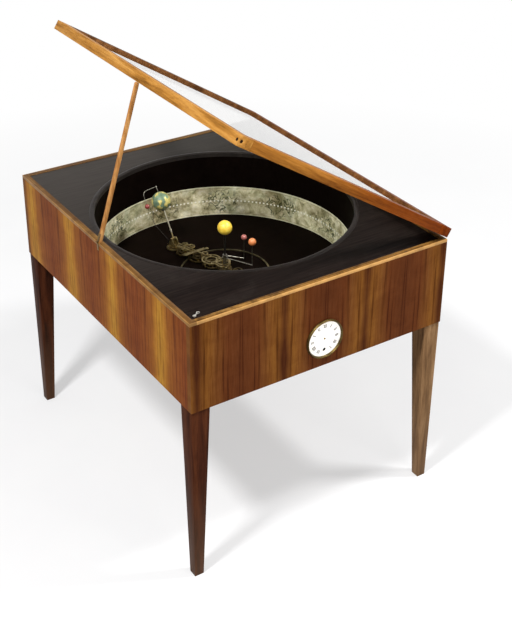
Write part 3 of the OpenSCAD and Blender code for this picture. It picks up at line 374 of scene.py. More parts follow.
def solid_wood(name, dark, middle, light, grain_mm, gloss, turn=(0, 0, 0), shade=None):
    """Long-grained wood; grain_mm is the size of its figure along each axis."""
    made, tree, shader, where = finish_named(name, roughness=gloss, Specular_IOR_Level=DULL)
    grain = grain_place(tree, where, grain_mm, turn)
    figure = mottled(tree, grain, 1.0, [(0.28, dark), (0.5, middle), (0.72, light)], 3.0, 0.55, 0.6)
    fine = node(tree, "TexNoise", {"Vector": grain, "Scale": PORES_A_STREAK, "Detail": 6.0,
                                   "Roughness": 0.7})
    pores = node(tree, "ValToRGB", {"Fac": fine}, [(0.3, "#8a7464"), (0.58, "#ffffff")])
    colour = node(tree, "Mix", {"Factor": 0.5, "A": figure, "B": pores}, **GLAZE)
    if shade:
        colour = shade(tree, where, colour)
    feed(shader, {"Base Color": colour})
    worn = node(tree, "TexNoise", {"Vector": where, "Scale": cells(71.43), "Detail": 5.0,
                                   "Roughness": 0.6})
    worn_surface(tree, shader, worn, 0.2, gloss - 0.1, fine, 0.12)
    return made


def painted_shade_by_hinge(tree, where, colour):
    """The rails are glazed redder and darker towards the hinge, as painted shade of its shadowed corner.
    """
    across = node(tree, "SeparateXYZ", {"Vector": where}).outputs["X"]
    drift = node(tree, "TexNoise", {"Vector": where, "Scale": cells(142.9), "Detail": 4.0})
    near = node(tree, "Math", {0: drift, 1: 0.15, 2: across}, operation="MULTIPLY_ADD")
    tint = node(tree, "ValToRGB", {"Fac": near},
                [(0.0, "#ffffff"), (0.25, "#dcb294"), (0.46, "#b98362")])
    return node(tree, "Mix", {"Factor": 1.0, "A": colour, "B": tint}, **GLAZE)


def grimy_and_shaded(tree, where, colour):
    """Old dirt lies in patches on the rail that hands don't reach; the glaze also darkens the whole rail
    as painted shade of its inner face.
    """
    dirt = mottled(tree, where, cells(62.5), [(0.38, "#54483c"), (0.66, "#b39c84")], 6.0, 0.65)
    return node(tree, "Mix", {"Factor": 1.0, "A": colour, "B": dirt}, **GLAZE)


def worn_feet(tree, where, colour):
    """The legs' lowest part is rubbed pale by brooms and shoes."""
    height = node(tree, "SeparateXYZ", {"Vector": where}).outputs["Z"]
    drift = node(tree, "TexNoise", {"Vector": where, "Scale": cells(45.45), "Detail": 4.0,
                                    "Roughness": 0.6})
    rubbed = node(tree, "Math", {0: drift, 1: 0.10, 2: height}, operation="MULTIPLY_ADD")
    mask = node(tree, "ValToRGB", {"Fac": rubbed}, [(0.06, "#909090"), (0.36, "#000000")])
    return node(tree, "Mix", {"Factor": mask, "A": colour, "B": tone("#6d5440")}, **OVER)


# Darker by the hinge is painted shade, and the grimy glaze holds painted shade as well as dirt
print("old wood can be darker by the hinge, grimy, or worn at the feet")

# %% [markdown]
# The lid is of a honey-coloured wood such as maple, and its glass is held by darker beads. The grain
# runs along each rail. A picture of wood could be wrapped round each one, but the recipe needs only
# the sizes of its streaks swapped for the end rails, and a turn by the lid's own angle.

# %% Lid, prop and plugs
lid_open = math.radians(-joints["lid_hinge"]["range_deg"][0])
LID_TURN = (0, -lid_open, 0)
# Streaks about 17 mm wide and 200 mm long, on the side rails and on the end rails
SIDE_GRAIN = (16.67, 200, 16.67)
END_GRAIN = (200, 16.67, 16.67)
# Honey-coloured long grain, rubbed by hands: the brightest wood, it draws the lid's slanting line
lid_side_wood = solid_wood("waxed_maple_lid_side", "#6f481b", "#a47131", "#bf8d49", SIDE_GRAIN, 0.4,
                           LID_TURN)
# The same maple going from honey to dark red-brown at the hinge end, as painted shade
lid_end_wood = solid_wood("waxed_maple_lid_end", "#6a4017", "#8f5d24", "#a87233", END_GRAIN, 0.4,
                          LID_TURN, painted_shade_by_hinge)
# The hinge rail is in that dark red-brown all along, as painted shade, so the lid ends in a shadowed
# corner
lid_hinge_wood = solid_wood("waxed_maple_lid_hinge_side", "#6a4017", "#8f5d24", "#a87233", SIDE_GRAIN,
                            0.4, LID_TURN, painted_shade_by_hinge)
# Dull brown with dark patches of dirt and painted shade all over, so the far rail steps back behind the
# glass
lid_back_wood = solid_wood("grimy_shaded_maple_lid_back", "#7d5a36", "#a98256", "#c69f70", END_GRAIN, 0.5,
                           LID_TURN, grimy_and_shaded)
# A darker, matter brown: a thin shadow line round the glass
bead_wood = solid_wood("waxed_maple_glazing_bead", "#4c2f18", "#6b4526", "#8a5d36",
                       (33.33, 33.33, 33.33), 0.45, LID_TURN)
# Pale straight grain along a thin stick
prop_wood = solid_wood("waxed_maple_prop", "#8d5c2e", "#b07c46", "#c9985f", (14.29, 14.29, 125), 0.42)
# Two small dark round ends in the honey rail
plug_wood = solid_wood("ebonised_plug", "#120a07", "#1f130d", "#2c1c14", (11.11, 11.11, 11.11), 0.5)
dress(["lid_left_rail"], lid_side_wood)
dress(["lid_right_rail"], lid_hinge_wood)
dress(["lid_front_rail"], lid_end_wood)
dress(["lid_back_rail"], lid_back_wood)
dress(["glass_beads"], bead_wood)
dress(["lid_prop"], prop_wood)
dress(["corner_plugs"], plug_wood)

# %% [markdown]
# The legs are of a dark stained wood such as walnut. The front right one has stood in the sun and is
# bleached, which the photograph shows plainly. A mask could bleach it inside one material for all four,
# but a second material from the same recipe is plainer. The boards that nobody sees are rough.

# %% Legs and hidden boards
LEG_GRAIN = (16.67, 16.67, 222.2)
# Nearly black red-brown with long streaks, rubbed grey-brown towards the floor
leg_wood = solid_wood("stained_walnut_leg", "#22110a", "#391c10", "#4c2917", LEG_GRAIN, 0.36,
                      shade=worn_feet)
# The leg that stood in the sun is faded to a greyish tan
bleached_leg = solid_wood("sun_bleached_walnut_leg", "#513b27", "#73573b", "#8a6d4e", LEG_GRAIN, 0.4,
                          shade=worn_feet)
# Rough, matt and yellow-brown, as wood that was never meant to be seen
inside_wood = solid_wood("rough_pine_inside", "#4d3623", "#6b4d33", "#846243", (333.3, 25, 25), 0.75)
dress(["leg_front_left", "leg_back_left", "leg_back_right"], leg_wood)
dress(["leg_front_right"], bleached_leg)
dress(["bottom_board", "floor_rails"], inside_wood)

# %% [markdown]
# The rim is a light strip mitred at the corners, so its grain turns with it: where the point is nearer
# to a side face than to a front or back face, the grain runs front to back. The left and the back
# strip are darker with painted shade, and the outer edge is lighter: partly rubbed wear, partly a
# painted highlight, which is weaker on the shaded strips.

# %% Light rim strips
PAINTED_SHADE_STRIP_M = 0.02
WORN_AND_HIGHLIT_EDGE_M = 0.0022


def painted_over(tree, colour, mask, share, code):
    """Lays a share of a flat colour over another one where a mask is on."""
    strength = node(tree, "Math", {0: mask, 1: share}, operation="MULTIPLY")
    return node(tree, "Mix", {"Factor": strength, "A": colour, "B": tone(code)}, **OVER)


def rim_wood():
    made, tree, shader, where = finish_named("waxed_sycamore_rim", roughness=0.4,
                                             Specular_IOR_Level=0.06)
    split = node(tree, "SeparateXYZ", {"Vector": where}).outputs
    off_x = node(tree, "Math", {0: split["X"]}, operation="ABSOLUTE")
    off_y = node(tree, "Math", {0: split["Y"]}, operation="ABSOLUTE")
    from_side = node(tree, "Math", {0: half_w, 1: off_x}, operation="SUBTRACT")
    from_front = node(tree, "Math", {0: half_d, 1: off_y}, operation="SUBTRACT")
    is_side = node(tree, "Math", {0: from_side, 1: from_front}, operation="LESS_THAN")
    along_x, along_y = [
        node(tree, "TexNoise", {"Vector": grain_place(tree, where, grain_mm), "Scale": 1.0,
                                "Detail": 5.0, "Roughness": 0.6})
        for grain_mm in ((250, 8.333, 8.333), (8.333, 250, 8.333))]
    grain = node(tree, "Mix", {"Factor": is_side, "A": along_x, "B": along_y}, data_type="FLOAT")
    colour = node(tree, "ValToRGB", {"Fac": grain},
                  [(0.3, "#4a3015"), (0.5, "#745022"), (0.68, "#99733c")])

    patches = node(tree, "TexNoise", {"Vector": where, "Scale": cells(41.67), "Detail": 6.0,
                                      "Roughness": 0.65})
    grime = node(tree, "ValToRGB", {"Fac": patches}, [(0.36, "#5d4a38"), (0.56, "#ffffff")])
    colour = node(tree, "Mix", {"Factor": 0.75, "A": colour, "B": grime}, **GLAZE)
    # Painted shade: the left and the back strip are laid over with dark brown
    at_left = node(tree, "Math", {0: split["X"], 1: rim_low[0] + PAINTED_SHADE_STRIP_M}, operation="LESS_THAN")
    at_back = node(tree, "Math", {0: split["Y"], 1: half_d - PAINTED_SHADE_STRIP_M}, operation="GREATER_THAN")
    painted_shade_strips = node(tree, "Math", {0: at_left, 1: at_back}, operation="MAXIMUM")
    colour = painted_over(tree, colour, painted_shade_strips, 0.62, "#4a311b")

    # The outer edge is lighter: partly rubbed wear, partly a painted highlight, weaker on the shaded
    # strips
    from_edge = node(tree, "Math", {0: from_side, 1: from_front}, operation="MINIMUM")
    at_edge = node(tree, "Math", {0: from_edge, 1: WORN_AND_HIGHLIT_EDGE_M}, operation="LESS_THAN")
    rubbed = node(tree, "Math", {0: at_edge, 1: patches}, operation="MULTIPLY")
    brightness = node(tree, "Math", {0: painted_shade_strips, 1: -0.65, 2: 1.0}, operation="MULTIPLY_ADD")
    rubbed = node(tree, "Math", {0: rubbed, 1: brightness}, operation="MULTIPLY")
    relief = node(tree, "Bump", {"Strength": 1.0, "Distance": 0.1 * MM, "Height": grain})
    feed(shader, {"Base Color": painted_over(tree, colour, rubbed, 1.4, "#c59659"), "Normal": relief})
    return made


# A thin golden-brown outline round the black top, with dirt in patches, painted shade on the left and
# back strips, and an outer edge lightened by wear and a painted highlight
dress(["rim_strips"], rim_wood())

# %% [markdown]
# The top, the bead and the well are ebonised: stained black and rubbed, so that the wood's grain shows
# only as a faint grey sheen, with scuffs where things were set down. The well is duller than the top.

# %% Ebonised top and well
# Grain lines 7.7 mm apart, far coarser than real ones, so that they show at all in the black
BLACK_GRAIN = (166.7, 7.692, 25)


def ebonised(name, ink, sheen, scuff, gloss, scuff_mm, specular, dust=0.0):
    """Black-stained wood, grain along X; dust and a painted sheen grey it towards the back and left."""
    made, tree, shader, where = finish_named(name, roughness=gloss, Specular_IOR_Level=specular)
    grain = node(tree, "TexNoise", {"Vector": grain_place(tree, where, BLACK_GRAIN), "Scale": 1.0,
                                    "Detail": 6.0, "Roughness": 0.7})
    scuffs = node(tree, "TexNoise", {"Vector": where, "Scale": cells(scuff_mm), "Detail": 8.0,
                                     "Roughness": 0.72, "Distortion": 0.5})
    colour = node(tree, "ValToRGB", {"Fac": grain}, [(0.34, ink), (0.66, sheen)])
    rubbed = node(tree, "ValToRGB", {"Fac": scuffs}, [(0.54, "#000000"), (0.72, "#8a8a86")])
    colour = node(tree, "Mix", {"Factor": rubbed, "A": colour, "B": tone(scuff)}, **OVER)

    split = node(tree, "SeparateXYZ", {"Vector": where}).outputs
    # Dust and painted sheen: greyer towards the back, where the top is seen at a grazing angle, and a
    # little towards the left; the right stays darker as painted shade under the lid
    backward = node(tree, "Math", {0: split["X"], 1: -0.15, 2: split["Y"]}, operation="MULTIPLY_ADD")
    dust_and_sheen_share = node(tree, "Math", {0: backward, 1: dust, 2: dust * 0.3}, operation="MULTIPLY_ADD")
    streaky = node(tree, "Math", {0: grain, 1: 0.5}, operation="ADD")
    dust_and_sheen = node(tree, "Math", {0: dust_and_sheen_share, 1: streaky}, operation="MULTIPLY")
    dust_and_sheen = node(tree, "Clamp", {"Value": dust_and_sheen})
    colour = node(tree, "Mix", {"Factor": dust_and_sheen, "A": colour, "B": tone("#3d3936")}, **OVER)
    feed(shader, {"Base Color": colour})
    worn_surface(tree, shader, scuffs, 0.3, gloss - 0.15, grain, 0.1)
    return made


# Satin black with fine grey grain lines and soft scuffs; dust and a painted sheen grey it towards the
# back
black_top = ebonised("ebonised_satin_top", "#0a0605", "#1e1714", "#35302c", 0.4, 111.1, DULL, 1.0)
# Slightly glossier black on the moulding, so that its curve shows as a thin grey line; a little dust
# and painted sheen grey it towards the back
bead_black = ebonised("ebonised_rubbed_bead", "#0f0b0a", "#1d1714", "#38312d", 0.36, 33.33, 0.08, 0.3)
# Dull brown-black that swallows light and lets the painted balls stand out
well_black = ebonised("ebonised_dull_well", "#060302", "#0c0705", "#140d09", 0.55, 83.33, 0.01)
dress(["top_board"], black_top)
dress(["well_bead"], bead_black)
dress(["well_wall", "well_floor"], well_black)

# %% [markdown]
# The band is paper pasted round the well, washed in olive and green and varnished, with a row of white
# dots at mid-height. The angle round the well and the height give it its own flat coordinates. The
# pattern is a plain one: clouded washes, twelve groups of small drawn shapes whose outlines are the
# level lines of a noise, brown dirt in patches, and a fine rule near each edge.

# %% Where a point lies on the band
band_low, band_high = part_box("zodiac_band")
BAND_R = (band_high[0] - band_low[0]) / 2
BAND_MID = (band_low[2] + band_high[2]) / 2
BAND_H = band_high[2] - band_low[2]
DOTS = 190
FIGURES = 12
DOT_R = 2.7 * MM
RULE_IN = 6 * MM
RULE_HALF = 0.7 * MM
FRAYED = 2.5 * MM
print("band", round(BAND_H * 1000), "mm high with", DOTS, "dots")


def distance(tree, across, up):
    """How far a point lies from the middle of a figure or a dot."""
    both = node(tree, "CombineXYZ", {"X": across, "Y": up})
    return node(tree, "VectorMath", {0: both}, operation="LENGTH")


# %% [markdown]
# First come the washes and the drawn figures, with dirt over both. The lines and the dots are laid on
# last, each from a distance: to the middle of its figure or dot, or to the band's edge.

# %% Painted band
def painted_band():
    made, tree, shader, where = finish_named("varnished_painted_paper", roughness=0.5,
                                             Specular_IOR_Level=0.1)
    split = node(tree, "SeparateXYZ", {"Vector": where}).outputs
    angle = node(tree, "Math", {0: split["Y"], 1: split["X"]}, operation="ARCTAN2")
    high_m = node(tree, "Math", {0: split["Z"], 1: BAND_MID}, operation="SUBTRACT")
    washes = node(tree, "TexNoise", {"Vector": where, "Scale": cells(33.33), "Detail": 8.0,
                                     "Roughness": 0.7, "Distortion": 0.5})
    ground = node(tree, "ValToRGB", {"Fac": washes},
                  [(0.34, "#7f7757"), (0.44, "#c0b68e"), (0.53, "#e6dcb8"), (0.66, "#f8f1d8")])
    green = mottled(tree, where, cells(90.91), [(0.51, "#000000"), (0.62, "#a8a8a8")], 6.0, 0.65, 1.0)
    colour = node(tree, "Mix", {"Factor": green, "A": ground, "B": tone("#869670")}, **OVER)

    turn = node(tree, "Math", {0: angle, 1: math.pi / FIGURES}, operation="PINGPONG")
    off_middle = node(tree, "Math", {0: turn, 1: BAND_R}, operation="MULTIPLY")
    taller = node(tree, "Math", {0: high_m, 1: math.sqrt(2.2)}, operation="MULTIPLY")
    reach = distance(tree, off_middle, taller)
    inside = node(tree, "ValToRGB", {"Fac": reach}, [(0.045, "#ffffff"), (0.07, "#000000")])
    drawn = node(tree, "TexNoise", {"Vector": where, "Scale": cells(22.73), "Detail": 3.0,
                                    "Roughness": 0.55, "Distortion": 0.9})
    body = node(tree, "ValToRGB", {"Fac": drawn}, [(0.50, "#000000"), (0.54, "#c0c0c0")])
    outline = node(tree, "Math", {0: drawn, 1: 0.515, 2: 0.03}, operation="COMPARE")
    colour = painted_over(tree, colour, body, inside, "#a5a277")
    colour = painted_over(tree, colour, outline, inside, "#5f6046")
    dirt = mottled(tree, where, cells(142.9), [(0.36, "#8d8068"), (0.54, "#ffffff")], 7.0, 0.7, 0.3)
    colour = node(tree, "Mix", {"Factor": 0.85, "A": colour, "B": dirt}, **GLAZE)

    step = 2 * math.pi / DOTS
    count = node(tree, "Math", {0: angle, 1: step}, operation="DIVIDE")
    part = node(tree, "Math", {0: count}, operation="FRACT")
    off_dot = node(tree, "Math", {0: part, 1: 0.5}, operation="SUBTRACT")
    across = node(tree, "Math", {0: off_dot, 1: step * BAND_R}, operation="MULTIPLY")
    dot = node(tree, "Math", {0: distance(tree, across, high_m), 1: DOT_R}, operation="LESS_THAN")
    off_mid = node(tree, "Math", {0: high_m}, operation="ABSOLUTE")
    from_edge = node(tree, "Math", {0: BAND_H / 2, 1: off_mid}, operation="SUBTRACT")
    rule = node(tree, "Math", {0: from_edge, 1: RULE_IN, 2: RULE_HALF}, operation="COMPARE")
    frayed = node(tree, "Math", {0: from_edge, 1: FRAYED}, operation="LESS_THAN")
    for mask, share, code in ((dot, 0.9, "#efebdc"), (rule, 0.5, "#6a6248"), (frayed, 0.5, "#d8d3b6")):
        colour = painted_over(tree, colour, mask, share, code)
    relief = node(tree, "Bump", {"Strength": 1.0, "Distance": 0.2 * MM, "Height": washes})
    feed(shader, {"Base Color": colour, "Normal": relief})
    return made


# Mottled cream and olive with dark fine drawing: the one pale, busy ring in the black well
dress(["zodiac_band"], painted_band())

# %% [markdown]
# Old lacquered brass goes dull and olive where air reaches it and stays bright where it is rubbed. One
# recipe mixes a bright and a tarnished tone by two sizes of noise; the parts differ in how dull they
# are. A metal keeps the shader's usual index, and its colour alone says which metal it is.

# %% Brass and steel
# Above this height the lacquer has gone from the globe's stem
stem_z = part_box("well_floor")[1][2] + 55 * MM


def tarnished(name, bright, dull, gloss, spot_mm, bare_above=None):
    """Old metal; above a height in metres, if one is given, the lacquer has gone and it is silvery."""
    made, tree, shader, where = finish_named(name, metallic=1.0, roughness=gloss)
    spots = node(tree, "TexNoise", {"Vector": where, "Scale": cells(spot_mm), "Detail": 6.0,
                                    "Roughness": 0.65})
    fine = node(tree, "TexNoise", {"Vector": where, "Scale": cells(spot_mm / 7),
                                   "Detail": 4.0, "Roughness": 0.6})
    coarse_part = node(tree, "Math", {0: spots, 1: 0.65}, operation="MULTIPLY")
    mixed = node(tree, "Math", {0: fine, 1: 0.35, 2: coarse_part}, operation="MULTIPLY_ADD")
    colour = node(tree, "ValToRGB", {"Fac": mixed}, [(0.36, dull), (0.62, bright)])
    if bare_above is not None:
        height = node(tree, "SeparateXYZ", {"Vector": where}).outputs["Z"]
        bare = node(tree, "Math", {0: height, 1: bare_above}, operation="GREATER_THAN")
        colour = painted_over(tree, colour, bare, 0.8, "#c4c0b0")
    feed(shader, {"Base Color": colour})
    worn_surface(tree, shader, spots, 0.35, gloss - 0.17, fine, 0.08)
    return made


# A darker copy of the cast brass as painted shade: the brown, nearly unlit frame under the openwork
works_brass_in_painted_shade = tarnished("cast_brass_frame_in_painted_shade", "#7d6b44", "#33291a", 0.38, 11.11)
# Cream-gold highlights over olive shadows make the scrolls readable against the black floor
works_brass = tarnished("tarnished_cast_brass_works", "#d2bf8c", "#584b2e", 0.34, 11.11)
# The same brass with its lacquer gone on the stem, which flashes silvery
stem_brass = tarnished("worn_brass_stem", "#d2bf8c", "#584b2e", 0.34, 11.11, stem_z)
# Greyish brass: a thin pale circle on the floor
ring_brass = tarnished("tarnished_brass_ring", "#8d825f", "#4a4434", 0.4, 25)
# Bronzed brown metal that hardly shows beside the wood
hinge_brass = tarnished("dark_bronzed_brass_hinge", "#8a6d3e", "#4a381f", 0.42, 11.11)
# A dark gold edge with one bright glint, framing the white dial
bezel_brass = tarnished("turned_brass_bezel", "#66552f", "#352a17", 0.5, 20)
# Clean yellow clock brass, kept bright inside the case
movement_brass = tarnished("yellow_clock_brass", "#cdb069", "#94793c", 0.3, 25)
# Blackened steel that nearly vanishes, so the sun seems to float
dark_steel = tarnished("blackened_steel_rod", "#4a4642", "#201d1b", 0.45, 8.333)
# Grey drawn wire with thin bright highlights
wire_steel = tarnished("bright_drawn_wire", "#9c998e", "#5b5850", 0.34, 6.667)
# Nickel plate, nearly white: the one cold glint in the black corner
catch_nickel = tarnished("bright_nickel_plate_catch", "#f2f0ea", "#b0ada4", 0.3, 6.667)
# Polished pale steel of turned arbors
arbor_steel = tarnished("polished_arbor_steel", "#c4c4c8", "#8c8c90", 0.25, 16.67)
print("the stem is bare from", round(stem_z, 4), "m up")

# %% [markdown]
# Which part is of which metal follows what each does. The works on the well's floor are cast brass, the
# arms of the planets and the moon are drawn wire, and the sun's post is blackened. The movement and
# the gears under the floor are bright brass, and the winding and driving shafts are polished steel.

# %% Metals on their parts
dress(["fixed_wheel", "annual_arm", "first_idler", "second_idler", "third_idler"], works_brass_in_painted_shade)
dress(["arm_gallery"], works_brass)
dress(["globe_carrier"], stem_brass)
dress(["floor_ring"], ring_brass)
dress(["case_hinge_leaves", "lid_hinge_leaves", "hinge_pins", "prop_case_leaf", "prop_leaf",
       "prop_pin"], hinge_brass)
dress(["dial_bezel"], bezel_brass)
dress(["movement_plates", "spring_barrel", "centre_arbor", "escape_arbor", "gear_cradle", "layshaft"],
      movement_brass)
dress(["sun_post", "date_pointer"], dark_steel)
dress(["mercury_arm", "venus_arm", "moon_arm"], wire_steel)
dress(["catch_peg", "catch_hook"], catch_nickel)
dress(["winding_arbor", "drive_shaft"], arbor_steel)

# %% [markdown]
# The sun and the planets are turned balls in old oil paint, a little uneven, with tiny chips. Brush
# marks are 11 mm wide here, wider than on such small balls, because finer ones wouldn't show.

# %% Painted balls
def painted_ball(name, light, dark, gloss=0.4):
    made, tree, shader, where = finish_named(name, roughness=gloss)
    strokes = node(tree, "TexNoise", {"Vector": where, "Scale": cells(11.11), "Detail": 5.0,
                                      "Roughness": 0.6})
    colour = node(tree, "ValToRGB", {"Fac": strokes}, [(0.3, dark), (0.65, light)])
    chips = mottled(tree, where, cells(2.381), [(0.70, "#000000"), (0.76, "#808080")], 3.0, 0.7)
    colour = node(tree, "Mix", {"Factor": chips, "A": colour, "B": tone("#6a4a26")}, **OVER)
    relief = node(tree, "Bump", {"Strength": 1.0, "Distance": 0.2 * MM, "Height": strokes})
    feed(shader, {"Base Color": colour, "Normal": relief})
    return made


# Lemon yellow that deepens in the brush marks: the eye's first stop in the dark well
dress(["sun_ball"], painted_ball("old_yellow_oil_paint", "#f3d451", "#dcae2c"))
# Soft orange, a little brown where the paint is thin
dress(["venus_ball"], painted_ball("old_orange_oil_paint", "#d9854c", "#b35f33"))
# Dusty rose, the darkest of the planets
dress(["mercury_ball"], painted_ball("old_rose_oil_paint", "#a8625a", "#7f4039"))
# Deep oxide red, a small accent beside the globe
dress(["moon_ball"], painted_ball("old_red_oil_paint", "#8f3630", "#642320"))

# %% [markdown]
# The globe is printed paper on a ball, varnished. It has pale land on a grey-green sea: noise round the
# ball's own middle, cut at a threshold with a darker line along the coast. Three parallels and a dark
# cap, where it sits on its stem, follow the axis that it turns on, which leans in the model.

# %% Globe
globe_low, globe_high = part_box("globe")
globe_r = (globe_high[0] - globe_low[0]) / 2
globe_middle = Vector(((globe_low[0] + globe_high[0]) / 2, (globe_low[1] + globe_high[1]) / 2,
                       globe_high[2] - globe_r))
LINE_HALF = 0.25 * MM
CAP_FROM = 0.86
PARALLELS = (-0.5, 0.0, 0.5)


def printed_globe():
    made, tree, shader, where = finish_named("varnished_paper_globe", roughness=0.38,
                                             Specular_IOR_Level=0.3)
    where = node(tree, "Mapping", {"Vector": where, "Location": -globe_middle})
    shapes = node(tree, "TexNoise", {"Vector": where, "Scale": cells(29.41), "Detail": 5.0,
                                     "Roughness": 0.55, "Distortion": 0.3})
    is_land = node(tree, "ValToRGB", {"Fac": shapes}, [(0.49, "#000000"), (0.52, "#ffffff")])
    sea = mottled(tree, where, cells(16.67), [(0.35, "#536753"), (0.65, "#778a6c")])
    land = mottled(tree, where, cells(12.5), [(0.35, "#ab994f"), (0.65, "#cebf76")])
    colour = node(tree, "Mix", {"Factor": is_land, "A": sea, "B": land}, **OVER)
    coast = node(tree, "Math", {0: shapes, 1: 0.505, 2: 0.008}, operation="COMPARE")
    colour = painted_over(tree, colour, coast, 0.7, "#5d6a3c")
    axis = Vector(joints["globe_turn"]["axis"])
    along_axis = node(tree, "VectorMath", {0: where, 1: axis}, operation="DOT_PRODUCT")
    for height in PARALLELS:
        parallel = node(tree, "Math", {0: along_axis, 1: globe_r * height, 2: LINE_HALF},
                        operation="COMPARE")
        colour = painted_over(tree, colour, parallel, 0.6, "#4c4a34")
    cap = node(tree, "Math", {0: along_axis, 1: -globe_r * CAP_FROM}, operation="LESS_THAN")
    feed(shader, {"Base Color": painted_over(tree, colour, cap, 1.0, "#1f211c")})
    return made


# Grey-green seas and straw-yellow land under a soft varnish shine
dress(["globe"], printed_globe())
print("globe", round(2 * globe_r / MM, 1), "mm across")

# %% [markdown]
# The lid is glazed with thin old sheet glass. At this low angle it mirrors the white room more than it
# shows what lies behind, so clear transmission with the usual index of glass gives it its white look.
# A little dust, as noise in the roughness, keeps it from looking empty. Thin glass lets nearly all
# light through, so shadow and diffuse rays pass it as they would pass a clear film.

# %% Sheet glass
def sheet_glass():
    made, tree, shader, where = finish_named("old_sheet_glass", roughness=0.01,
                                             Transmission_Weight=1.0, IOR=1.5)
    dust = node(tree, "TexNoise", {"Vector": where, "Scale": cells(38.46), "Detail": 8.0,
                                   "Roughness": 0.7})
    haze = node(tree, "Math", {0: dust, 1: 0.015}, operation="MULTIPLY")
    tint = node(tree, "ValToRGB", {"Fac": dust}, [(0.3, "#fffefb"), (0.7, "#f6f3ee")])
    feed(shader, {"Base Color": tint, "Roughness": haze})
    rays = node(tree, "LightPath").outputs
    lit_through = node(tree, "Math", {0: rays["Is Shadow Ray"], 1: rays["Is Diffuse Ray"]},
                       operation="MAXIMUM")
    clear = node(tree, "BsdfTransparent", {"Color": tone("#f4f7f5")})
    glass_mix = node(tree, "MixShader", {0: lit_through, 1: shader, 2: clear})
    feed(tree.nodes["Material Output"], {"Surface": glass_mix})
    return made


# A pale mirror of the room with faint cloudy dust
dress(["lid_glass"], sheet_glass())

# %% [markdown]
# The dial is white enamel fired on copper: glossy, faintly cream, with a soft unevenness. A coat over a
# smooth shader gives the wet look of fired glass.

# %% Enamel dial
def fired_enamel():
    made, tree, shader, where = finish_named("fired_white_enamel", roughness=0.16, Coat_Weight=0.5,
                                             Coat_Roughness=0.08)
    soft = node(tree, "TexNoise", {"Vector": where, "Scale": cells(22.22), "Detail": 3.0})
    cream = node(tree, "ValToRGB", {"Fac": soft}, [(0.35, "#f7f1e7"), (0.65, "#fefbf4")])
    relief = node(tree, "Bump", {"Strength": 1.0, "Distance": 0.3 * MM, "Height": soft})
    feed(shader, {"Base Color": cream, "Normal": relief})
    return made


# Creamy white with a wet gloss, the brightest spot on the dark front
dress(["dial"], fired_enamel())
# Brown-black strokes, slightly uneven as fired ink is
ink, tree, shader, where = finish_named("fired_black_enamel_ink", roughness=0.3)
uneven_ink = mottled(tree, where, cells(3.333), [(0.3, "#15120f"), (0.7, "#2b2622")])
feed(shader, {"Base Color": uneven_ink})

# %% [markdown]
# The numerals are black strokes fired into the enamel, so they are thin pieces that stand a hair proud
# of it. A piece is a bmesh that is written to one mesh, with its object at the origin. It rides on a
# body of the model, and it can stand in for a part that it replaces.

# %% Making a piece
SMOOTH_UP_TO = math.radians(35)


def piece(name, shape, body, material, stands_for=()):
    """Writes a bmesh to a mesh, smooths it up to an angle, and lets it ride on a body."""
    mesh = bpy.data.meshes.new(name)
    shape.to_mesh(mesh)
    shape.free()
    made = bpy.data.objects.new(name, mesh)
    bpy.context.scene.collection.objects.link(made)
    mesh.materials.append(material)
    mesh.shade_smooth()
    mesh.set_sharp_from_angle(angle=SMOOTH_UP_TO)
    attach(made, body)
    if stands_for:
        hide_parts(*stands_for)
    print(name, "has", len(mesh.polygons), "faces")
    return made


def bar(shape, size, where, turn):
    """A box of a given size in a bmesh, turned and then moved to its place."""
    matrix = Matrix.Translation(where) @ turn @ Matrix.Diagonal((*size, 1))
    bmesh.ops.create_cube(shape, size=1, matrix=matrix)


print("a piece is smooth up to", round(math.degrees(SMOOTH_UP_TO)), "degrees")

# %% [markdown]
# Every numeral stands with its foot towards the dial's centre. A letter is one or two strokes: the V's
# and the X's lean by the angle that their width and height give, and one of the two is thinner, as a
# broad pen draws them. The winding hole stands where six would be.

# %% Numerals and minute marks
dial_low, dial_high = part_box("dial")
dial_middle = Vector((0, dial_low[1], (dial_low[2] + dial_high[2]) / 2))
NUMERAL_R = 37.5 * MM
NUMERAL_H = 10.0 * MM
STROKE = 1.35 * MM
INK_T = 0.15 * MM
LETTER_W = {"I": 2.5 * MM, "V": 4.8 * MM, "X": 5.0 * MM}
MINUTE_R = 45.5 * MM
MINUTE_W = 0.45 * MM
WORDS = ["XII", "I", "II", "III", "IIII", "V", "VI", "VII", "VIII", "IX", "X", "XI"]
HOLE_HOUR = 6
PROUD = Vector((0, -INK_T / 2, 0))


def draw_numeral(shape, word, hour):
    """Strokes of one numeral, its foot towards the dial's centre."""
    turned = Matrix.Rotation(math.radians(30 * hour), 4, "Y")
    pen = -sum(LETTER_W[letter] for letter in word) / 2
    for letter in word:
        width = LETTER_W[letter]
        lean = math.atan2(width * 0.55, NUMERAL_H)
        # Each stroke: its place across the letter, its slant and its weight
        strokes = {"I": [(0, 0, 1.1)], "V": [(-0.22, lean / 1.9, 1.2), (0.22, -lean / 1.9, 0.6)],
                   "X": [(0, lean, 1.2), (0, -lean, 0.6)]}[letter]
        for side, slant, weight in strokes:
            local = Vector((pen + width / 2 + side * width, 0, NUMERAL_R))
            turn = turned @ Matrix.Rotation(-slant, 4, "Y")
            bar(shape, (STROKE * weight, INK_T, NUMERAL_H), dial_middle + turned @ local + PROUD, turn)
        pen += width
    return len(word)


numerals = bmesh.new()
letters = sum(draw_numeral(numerals, word, hour) for hour, word in enumerate(WORDS)
              if hour != HOLE_HOUR)
for minute in range(60):
    turned = Matrix.Rotation(math.radians(6 * minute), 4, "Y")
    length = (2.4 if minute % 5 == 0 else 1.3) * MM
    spot = dial_middle + turned @ Vector((0, -INK_T / 2, MINUTE_R))
    bar(numerals, (MINUTE_W, INK_T, length), spot, turned)
piece("dial_numerals", numerals, "case", ink)
print("numeral strokes for", letters, "letters")

